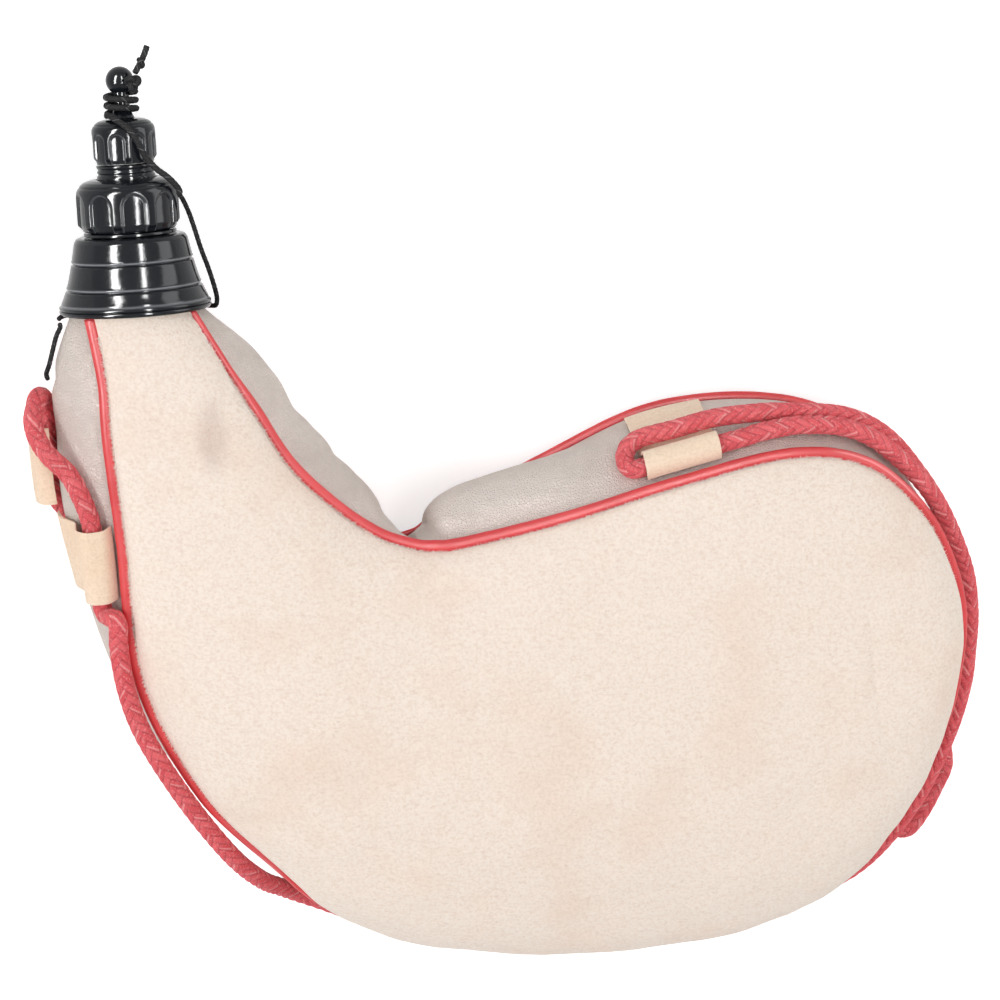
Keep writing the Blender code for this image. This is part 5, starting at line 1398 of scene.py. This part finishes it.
def make_fibre_group():
    """Loose fibres scattered on a strip, each with its own lean and length."""
    tree = bpy.data.node_groups.new("edge_fibres", "GeometryNodeTree")
    add_socket(tree, "Geometry", "Geometry")
    for label, value in FUZZ_SIZES.items():
        add_socket(tree, label, "Float", value)
    add_socket(tree, "Finish", "Material")
    add_socket(tree, "Geometry", "Geometry", direction="OUTPUT")
    made = Nodes(tree)
    inside = made.add("NodeGroupInput").outputs
    points = made.add("GeometryNodeDistributePointsOnFaces",
                      {"Mesh": inside["Geometry"], "Density": inside["Fibres per square metre"],
                       "Seed": 4}).outputs
    cone = made.add("GeometryNodeMeshCone",
                    {"Vertices": 3, "Side Segments": 1, "Radius Bottom": inside["Fibre width"],
                     "Depth": inside["Fibre length"]}, fill_type="NONE").outputs
    drift = made.add("FunctionNodeRandomValue",
                     {"Min": (-1.0, -1.0, -1.0), "Max": (1.0, 1.0, 1.0), "Seed": 9},
                     data_type="FLOAT_VECTOR").outputs
    scaled = made.add("ShaderNodeVectorMath", {0: drift["Value"], "Scale": inside["Spread"]},
                      operation="SCALE").outputs
    lean = made.vector("ADD", points["Normal"], scaled[0])
    align = made.add("FunctionNodeAlignRotationToVector", {"Vector": lean[0]}, axis="Z").outputs
    growth = made.add("FunctionNodeRandomValue",
                      {2: FUZZ_GROWTH[0], 3: FUZZ_GROWTH[1], "Seed": 2}).outputs
    placed = made.add("GeometryNodeInstanceOnPoints",
                      {"Points": points["Points"], "Instance": cone["Mesh"],
                       "Rotation": align["Rotation"], "Scale": growth[1]}).outputs
    real = made.add("GeometryNodeRealizeInstances", {"Geometry": placed["Instances"]}).outputs
    painted = made.add("GeometryNodeSetMaterial",
                       {"Geometry": real["Geometry"], "Material": inside["Finish"]}).outputs
    made.add("NodeGroupOutput", {0: painted["Geometry"]})
    return tree


def make_edge_fuzz():
    """Loose suede fibres along the cut edge of the front, over the piping."""
    places = np.linspace(FUZZ_START, LAST_STATION - FUZZ_START, FUZZ_PLACES)
    seam = front_seam(places)
    out = outward(places)
    upper = seam - out * (FUZZ_BESIDE + FUZZ_DEPTH) + UP * (SUEDE_ABOVE + 2 * FUZZ_DEPTH)
    lower = seam - out * FUZZ_BESIDE + UP * (SUEDE_ABOVE + FUZZ_DEPTH)
    strip = add_object("suede_fuzz", np.stack([upper, lower], 1), grid_faces(FUZZ_PLACES, 2), FIBRES)
    modifier = strip.modifiers.new("edge fibres", "NODES")
    modifier.node_group = make_fibre_group()
    values = {**FUZZ_SIZES, "Finish": FIBRES}
    for item in modifier.node_group.interface.items_tree:
        if item.in_out == "INPUT" and item.name in values:
            modifier[item.identifier] = values[item.name]
    apply_modifiers(strip)
    return finished(strip, "bag", "suede")


# Neck, spout and cap

def rounded(profile, radius, closed=True):
    """Profile with its corners rounded, and long stretches given more points."""
    points = [np.array(p, float) for p in profile]
    count = len(points)
    soft = []
    for index, point in enumerate(points):
        if not closed and index in (0, count - 1):
            soft.append(point)
            continue
        before = points[index - 1]
        after = points[(index + 1) % count]
        back = before - point
        onward = after - point
        reach = min(radius, 0.4 * np.linalg.norm(back), 0.4 * np.linalg.norm(onward))
        a = point + back / np.linalg.norm(back) * reach
        b = point + onward / np.linalg.norm(onward) * reach
        for t in np.linspace(0, 1, CORNER_POINTS):
            soft.append(a * (1 - t) ** 2 + point * 2 * t * (1 - t) + b * t * t)
    dense = []
    total = len(soft)
    for index in range(total if closed else total - 1):
        a = soft[index]
        b = soft[(index + 1) % total]
        pieces = max(int(np.linalg.norm(b - a) / PROFILE_STEP), 1)
        for step in range(pieces):
            dense.append(a + (b - a) * step / pieces)
    if not closed:
        dense.append(soft[-1])
    return np.array(dense)


def turned_piece(name, node, body, profile, segments=TURN_SEGMENTS, relief=None,
                 corner=CAP_CORNER, painted_highlight=None):
    """Closed body turned round the neck's axis; relief sinks its surface, and a painted highlight
    makes its edges grey.
    """
    open_ended = profile[0][0] == 0 and profile[-1][0] == 0
    outline = rounded(profile, corner, not open_ended)
    angle = np.linspace(0, 2 * math.pi, segments, endpoint=False)
    height, turn = np.meshgrid(outline[:, 1], angle, indexing="ij")
    radius = np.repeat(outline[:, 0][:, None], segments, 1)
    if relief is not None:
        radius = radius - relief(turn, height, radius)
    made = add_object(name, neck_points(turn, radius, height),
                      grid_faces(len(outline), segments, not open_ended, True), BLACK_PLASTIC)
    if painted_highlight is not None:
        greys = made.data.attributes.new("painted_highlight", "FLOAT", "POINT")
        greys.data.foreach_set("value", painted_highlight(turn, height, radius).ravel())
    rework(made, WELD, FLAT_AREA)
    return finished(made, body, "black_plastic", node)


def flutes(count, cap_radius, bottom, top, width, depth, phase=0.0):
    """Relief of the arches and the rim round a cap, and the painted highlight on the edges of the
    arches.
    """
    pitch = 2 * math.pi / count

    def arches(turn, height):
        across = (np.mod(turn + phase + pitch / 2, pitch) - pitch / 2) * cap_radius
        above = height - (top - width / 2)
        distance = np.where(above > 0, np.hypot(across, above), np.abs(across)) - width / 2
        return smooth(0.5 - distance / FLUTE_EDGE)

    def relief(turn, height, radius):
        outside = radius > cap_radius * FLUTE_WALL_SHARE
        rim = smooth((bottom - height) / FLUTE_RIM_EDGE + 0.5)
        groove = bump_at(height, bottom + 0.0001, 0.0003) * 0.5
        sunk = np.maximum(arches(turn, height), np.maximum(rim * 0.9, groove))
        return np.where(outside & (height < top + MILLI), depth * sunk, 0.0)

    # Painted highlight on the edges of the arches
    def painted_highlight(turn, height, radius):
        arch = arches(turn, height)
        outside = radius > cap_radius * FLUTE_WALL_SHARE
        return np.where(outside, 4 * arch * (1 - arch), 0.0) * FLUTE_HIGHLIGHT

    return relief, painted_highlight


def thread_relief(core, ridge, pitch, turns, bottom, stretch=0.9):
    """Raised screw thread, as a negative sinking of the core."""
    def relief(turn, height, radius):
        raised = np.zeros(turn.shape)
        first = np.mod(turn - math.pi / 2, 2 * math.pi)
        for lap in range(int(turns) + 2):
            total = first + 2 * math.pi * lap
            inside = total <= turns * 2 * math.pi
            centre = bottom + pitch * total / (2 * math.pi)
            ends = smooth(np.minimum(total, turns * 2 * math.pi - total) / 0.5 + 0.15)
            shape = smooth(1.35 - np.abs(height - centre) / (ridge * stretch))
            raised = np.maximum(raised, np.where(inside, shape * ends, 0.0))
        return np.where(radius > core * THREAD_WALL_SHARE, -ridge * raised, 0.0)
    return relief


SEAL_BOTTOM = SPOUT_SHOULDER + CLEARANCE
SEAL_RADIUS = SPOUT_RADIUS - CLEARANCE
SEAL_RECESS_TOP = SEAL_BOTTOM + SEAL_THICKNESS + CLEARANCE
GASKET_BOTTOM = INSERT_TOP + CLEARANCE
FLANGE_BOTTOM = GASKET_BOTTOM + GASKET_THICKNESS + CLEARANCE
FLANGE_TOP = FLANGE_BOTTOM + SPOUT_FLANGE_THICKNESS
NUT_BORE_RADIUS = INSERT_RADIUS + THREAD_RIDGE + RUNNING_GAP
FLANGE_RADIUS = NUT_BORE_RADIUS - RUNNING_GAP
NUT_TOP = NUT_BOTTOM + NUT_HEIGHT
NUT_CEILING = FLANGE_TOP + RUNNING_GAP
CAP_BORE_RADIUS = SPOUT_THREAD_RADIUS + CAP_THREAD_RIDGE + RUNNING_GAP


def collar_radius(height):
    share = max(height - COLLAR_BEAD_HEIGHT, 0) / (COLLAR_HEIGHT - COLLAR_BEAD_HEIGHT)
    spread_out = COLLAR_BASE_RADIUS - COLLAR_LIP - COLLAR_TOP_RADIUS
    flare = (1 - COLLAR_FLARE_SHARE) * (1 - share) + COLLAR_FLARE_SHARE * (1 - share) ** 4
    return COLLAR_TOP_RADIUS + spread_out * flare


def on_collar(height, radius):
    """Whether points of the collar lie on its outer wall."""
    return radius > np.vectorize(collar_radius)(height) - COLLAR_SKIN


def make_collar():
    top = COLLAR_HEIGHT
    hole = INSERT_RADIUS + CLEARANCE
    profile = [(hole, top), (COLLAR_TOP_RADIUS - COLLAR_SHOULDER, top)]
    profile.append((COLLAR_TOP_RADIUS - COLLAR_SHOULDER * 0.3, top - COLLAR_SHOULDER * 0.25))
    low = COLLAR_BEAD_HEIGHT + COLLAR_BEAD_GAP
    for height in np.linspace(top - COLLAR_SHOULDER, low, COLLAR_ROWS):
        profile.append((collar_radius(height), height))
    bead = COLLAR_BASE_RADIUS
    above, line_height, below = COLLAR_BEAD_LINE
    profile += [(bead - COLLAR_LIP * 1.3, COLLAR_BEAD_HEIGHT), (bead, COLLAR_REST),
                (bead, above), (bead - COLLAR_BEAD_GAP, line_height), (bead, below),
                (bead, COLLAR_BEAD_HEIGHT - COLLAR_REST), (bead - COLLAR_LIP, 0.0)]
    profile.append((bead - COLLAR_BASE_WALL, 0.0))
    for share in COLLAR_INNER_SHARES:
        height = share * top
        wall = COLLAR_BASE_WALL + (COLLAR_TOP_WALL - COLLAR_BASE_WALL) * share
        profile.append((collar_radius(height) - wall, height))
    profile.append((hole, top - COLLAR_TOP_WALL))
    lines = [share * top for share in COLLAR_GROOVE_SHARES]

    def relief(turn, height, radius):
        sunk = np.zeros(turn.shape)
        for line in lines:
            sunk += bump_at(height, line, GROOVE_WIDTH * 0.34) * GROOVE_DEPTH
            sunk -= bump_at(height, line + GROOVE_WIDTH * 0.75, GROOVE_WIDTH * 0.3) * GROOVE_RIDGE
        return np.where(on_collar(height, radius), sunk, 0.0)

    # Painted highlight: pale grey lines on the bead edge and on the ridges beside the grooves
    def painted_highlight(turn, height, radius):
        grey = bump_at(height, COLLAR_BEAD_HEIGHT, GROOVE_WIDTH * 0.3) * 0.6
        for line in lines:
            ridge = line + GROOVE_WIDTH * 0.5
            grey = np.maximum(grey, bump_at(height, ridge, GROOVE_WIDTH * 0.28))
        return np.where(on_collar(height, radius), grey, 0.0) * GROOVE_HIGHLIGHT

    return turned_piece("neck_bell", "neck_collar", "bag", profile, relief=relief,
                        corner=FINE_CORNER, painted_highlight=painted_highlight)


def make_insert():
    low = COLLAR_HEIGHT + CLEARANCE
    high = low + INSERT_FLANGE_THICKNESS
    profile = [(INSERT_BORE_RADIUS, INSERT_TOP), (INSERT_RADIUS, INSERT_TOP),
               (INSERT_RADIUS, high), (INSERT_FLANGE_RADIUS, high), (INSERT_FLANGE_RADIUS, low),
               (INSERT_RADIUS, low), (INSERT_RADIUS, INSERT_BOTTOM),
               (INSERT_BORE_RADIUS, INSERT_BOTTOM)]
    bottom = high + THREAD_RIDGE + CLEARANCE
    relief = thread_relief(INSERT_RADIUS, THREAD_RIDGE, NUT_PITCH, NUT_THREAD_TURNS, bottom)
    return turned_piece("neck_threaded_insert", "neck_insert", "bag", profile, CAP_SEGMENTS,
                        relief, FINE_CORNER)


def make_binding():
    """Waxed twine wound round the leather neck inside the collar."""
    radius = BINDING_THICKNESS / 2
    low = BINDING_SHARE * COLLAR_HEIGHT + radius
    angle = np.linspace(0, BINDING_TURNS * 2 * math.pi, BINDING_POINTS)
    around = CLAMP_RADIUS + PANEL_THICKNESS / 2 + CLEARANCE + radius
    rise = (BINDING_WIDTH - 2 * radius) / BINDING_TURNS
    line = neck_points(angle, around, low + rise * angle / (2 * math.pi))
    made = cord_mesh("neck_twine", line, radius, TWINE_SIDES, TWINE, twist_relief(2, KNOT_RELIEF),
                     TWINE_PITCH)
    return finished(made, "bag", "twine", "neck_binding")


def dome(radius, start, top, hole):
    return [(hole + (radius - hole) * across, start + (top - start) * up)
            for across, up in reversed(DOME_SHARES)]


def make_nut():
    hole = SPOUT_RADIUS + RUNNING_GAP
    start = NUT_TOP - NUT_DOME_HEIGHT
    profile = dome(NUT_RADIUS, start, NUT_TOP, hole)
    profile += [(NUT_RADIUS, NUT_BOTTOM + NUT_FOOT_HEIGHT),
                (NUT_RADIUS - NUT_FOOT_STEP, NUT_BOTTOM),
                (NUT_BORE_RADIUS, NUT_BOTTOM), (NUT_BORE_RADIUS, NUT_CEILING),
                (hole, NUT_CEILING)]
    flute_top = start + NUT_FLUTE_EASE
    width = NUT_FLUTE_WIDTH + NUT_FLUTE_EASE
    relief, painted_highlight = flutes(NUT_FLUTES, NUT_RADIUS, NUT_BOTTOM + FLUTE_RIM, flute_top, width,
                          FLUTE_DEPTH)
    return turned_piece("fluted_nut", "spout_nut", "nut", profile, relief=relief,
                        corner=NUT_CORNER, painted_highlight=painted_highlight)


def make_spout():
    chamfer = SPOUT_TIP_RADIUS * SPOUT_CHAMFER_SHARE
    profile = [(SPOUT_JET_RADIUS, SPOUT_TIP), (SPOUT_TIP_RADIUS - chamfer, SPOUT_TIP),
               (SPOUT_TIP_RADIUS, SPOUT_TIP - chamfer), (SPOUT_CONE_RADIUS, SPOUT_THREAD_TOP),
               (SPOUT_THREAD_RADIUS, SPOUT_THREAD_TOP - chamfer),
               (SPOUT_THREAD_RADIUS, SPOUT_SHOULDER), (SPOUT_RADIUS, SPOUT_SHOULDER),
               (SPOUT_RADIUS, FLANGE_TOP), (FLANGE_RADIUS, FLANGE_TOP),
               (FLANGE_RADIUS, FLANGE_BOTTOM), (SPOUT_WELL_RADIUS, FLANGE_BOTTOM),
               (SPOUT_WELL_RADIUS, NUT_TOP), (SPOUT_JET_RADIUS, SPOUT_SHOULDER + CAP_PITCH)]
    bottom = SPOUT_SHOULDER + CAP_THREAD_RIDGE + CLEARANCE + SEAL_THICKNESS
    thread = thread_relief(SPOUT_THREAD_RADIUS, CAP_THREAD_RIDGE, CAP_PITCH, CAP_THREAD_TURNS,
                           bottom)
    spacing = (SPOUT_SHOULDER - NUT_TOP) / 3

    def relief(turn, height, radius):
        sunk = thread(turn, height, radius)
        outside = radius > SPOUT_RADIUS * SPOUT_WALL_SHARE
        for ring in (1, 2):
            band = bump_at(height, NUT_TOP + ring * spacing, GROOVE_WIDTH * 0.4) * GROOVE_DEPTH
            sunk = sunk + np.where(outside & (height > NUT_TOP), band, 0)
        return np.where((height > SPOUT_SHOULDER + FINE_CORNER) | outside, sunk, 0.0)

    return turned_piece("jet_spout", "spout", "spout", profile, CAP_SEGMENTS, relief,
                        FINE_CORNER)


def make_cap():
    profile = []
    lowest = math.pi - math.asin(STEM_RADIUS / BALL_RADIUS)
    for index in range(BALL_POINTS + 1):
        angle = lowest * index / BALL_POINTS
        radius = BALL_RADIUS * math.sin(angle) if index else 0
        profile.append((radius, BALL_CENTRE + BALL_RADIUS * math.cos(angle)))
    profile += [(STEM_RADIUS, STEM_BOTTOM), (STEM_RADIUS + STEM_FLARE / 2, CAP_TOP + STEM_FLARE)]
    profile += dome(CAP_RADIUS, CAP_DOME_START, CAP_TOP, STEM_RADIUS + STEM_FLARE)
    recess = SEAL_RADIUS + RUNNING_GAP
    profile += [(CAP_RADIUS, CAP_BOTTOM + CAP_FOOT_HEIGHT),
                (CAP_RADIUS - CAP_FOOT_STEP, CAP_BOTTOM),
                (recess, CAP_BOTTOM), (recess, SEAL_RECESS_TOP),
                (CAP_BORE_RADIUS, SEAL_RECESS_TOP),
                (CAP_BORE_RADIUS, SPOUT_THREAD_TOP + CAP_WALL / 2),
                (SPOUT_CONE_RADIUS, SPOUT_TIP + CLEARANCE), (0, SPOUT_TIP + CLEARANCE)]
    flute_top = CAP_DOME_START - GROOVE_WIDTH * 0.6
    relief, painted_highlight = flutes(CAP_FLUTES, CAP_RADIUS, CAP_BOTTOM + FLUTE_RIM, flute_top,
                          CAP_FLUTE_WIDTH, FLUTE_DEPTH * CAP_FLUTE_SHARE, math.pi / CAP_FLUTES)
    return turned_piece("fluted_cap", "cap", "cap", profile, CAP_SEGMENTS, relief, CAP_CORNER,
                        painted_highlight)


def finish_cad_seals():
    for name in ("cap_seal", "spout_gasket"):
        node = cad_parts[name]
        node.data.materials.clear()
        node.data.materials.append(SEAL_RUBBER)


# Floor, light and camera

def make_floor():
    material = bpy.data.materials.new("white_table")
    material.use_nodes = True
    material.node_tree.nodes.clear()
    made = Nodes(material.node_tree)
    cloth = made.add("ShaderNodeBsdfDiffuse", {"Color": FLOOR_GREY}).outputs[0]
    glow = made.add("ShaderNodeEmission",
                    {"Color": WHITE, "Strength": made.times(made.seen(), FLOOR_GLOW)}).outputs[0]
    both = made.add("ShaderNodeAddShader", {0: cloth, 1: glow}).outputs[0]
    made.add("ShaderNodeOutputMaterial", {0: both})
    corners = [(FLOOR_HALF * x, FLOOR_HALF * y, -FLOOR_DROP)
               for x, y in ((-1, -1), (1, -1), (1, 1), (-1, 1))]
    add_object("floor", corners, [(0, 1, 2, 3)], material)


def make_world():
    world = bpy.data.worlds.new("studio")
    bpy.context.scene.world = world
    world.use_nodes = True
    made = Nodes(world.node_tree)
    strength = made.plus(made.times(made.seen(), 1 - WORLD_LEVEL), WORLD_LEVEL)
    background = world.node_tree.nodes["Background"]
    background.inputs["Color"].default_value = WHITE
    world.node_tree.links.new(strength, background.inputs["Strength"])


def add_facing(name, data, away, distance):
    """Lamp or camera at a distance from the target, facing it, with its upper side towards +Y."""
    up = (Vector((0, 1, 0)) - away * away.y).normalized()
    right = up.cross(away)
    place = CAMERA_TARGET + away * distance
    made = bpy.data.objects.new(name, data)
    made.matrix_world = Matrix([*zip(right, up, away, place), (0, 0, 0, 1)])
    COLLECTION.objects.link(made)
    return made


def add_softbox(name, angle, lean, width, length, power, glossy):
    """Rectangular softbox along the neck, seen in reflections only or in matt light only."""
    turn = math.radians(angle)
    light = bpy.data.lights.new(name, "AREA")
    light.shape = "RECTANGLE"
    light.size = width
    light.size_y = length
    light.energy = power
    away = Vector((math.sin(turn), lean, math.cos(turn))).normalized()
    made = add_facing(name, light, away, LAMP_DISTANCE)
    made.visible_camera = False
    made.visible_glossy = glossy
    made.visible_diffuse = not glossy


def make_camera():
    camera = bpy.data.cameras.new("camera")
    camera.sensor_width = SENSOR_WIDTH
    camera.lens = CAMERA_LENS
    away = Vector((-math.sin(CAMERA_TURN) * math.cos(CAMERA_TILT), math.sin(CAMERA_TILT),
                   math.cos(CAMERA_TURN) * math.cos(CAMERA_TILT)))
    bpy.context.scene.camera = add_facing("camera", camera, away, CAMERA_DISTANCE)


bpy.context.scene.view_settings.view_transform = "Standard"
make_camera()
make_world()
make_floor()
for softbox in SOFTBOXES:
    add_softbox(*softbox)

make_carry_cord()
make_tether()
make_suede_front()
make_leather_back()
make_gusset_wall()
make_bladder()
make_piping("front_piping_vinyl", "front_piping", front_seam, CLEARANCE / 2, True)
make_piping("back_piping_vinyl", "back_piping", back_seam,
            PIPING_DROP + LOOP_DROP + TETHER_LOWER_RADIUS, False)
make_keeper("top_keeper_loop", "keeper_top", KEEPER_TOP_PLACE, KEEPER_TOP_SHARES)
make_keeper("left_keeper_loop", "keeper_left", KEEPER_LEFT_PLACE, KEEPER_SHARES)
make_keeper("neck_keeper_loop", "keeper_neck", KEEPER_NECK_PLACE, KEEPER_NECK_SHARES)
make_edge_fuzz()
make_collar()
make_insert()
make_binding()
make_nut()
make_spout()
make_cap()
finish_cad_seals()
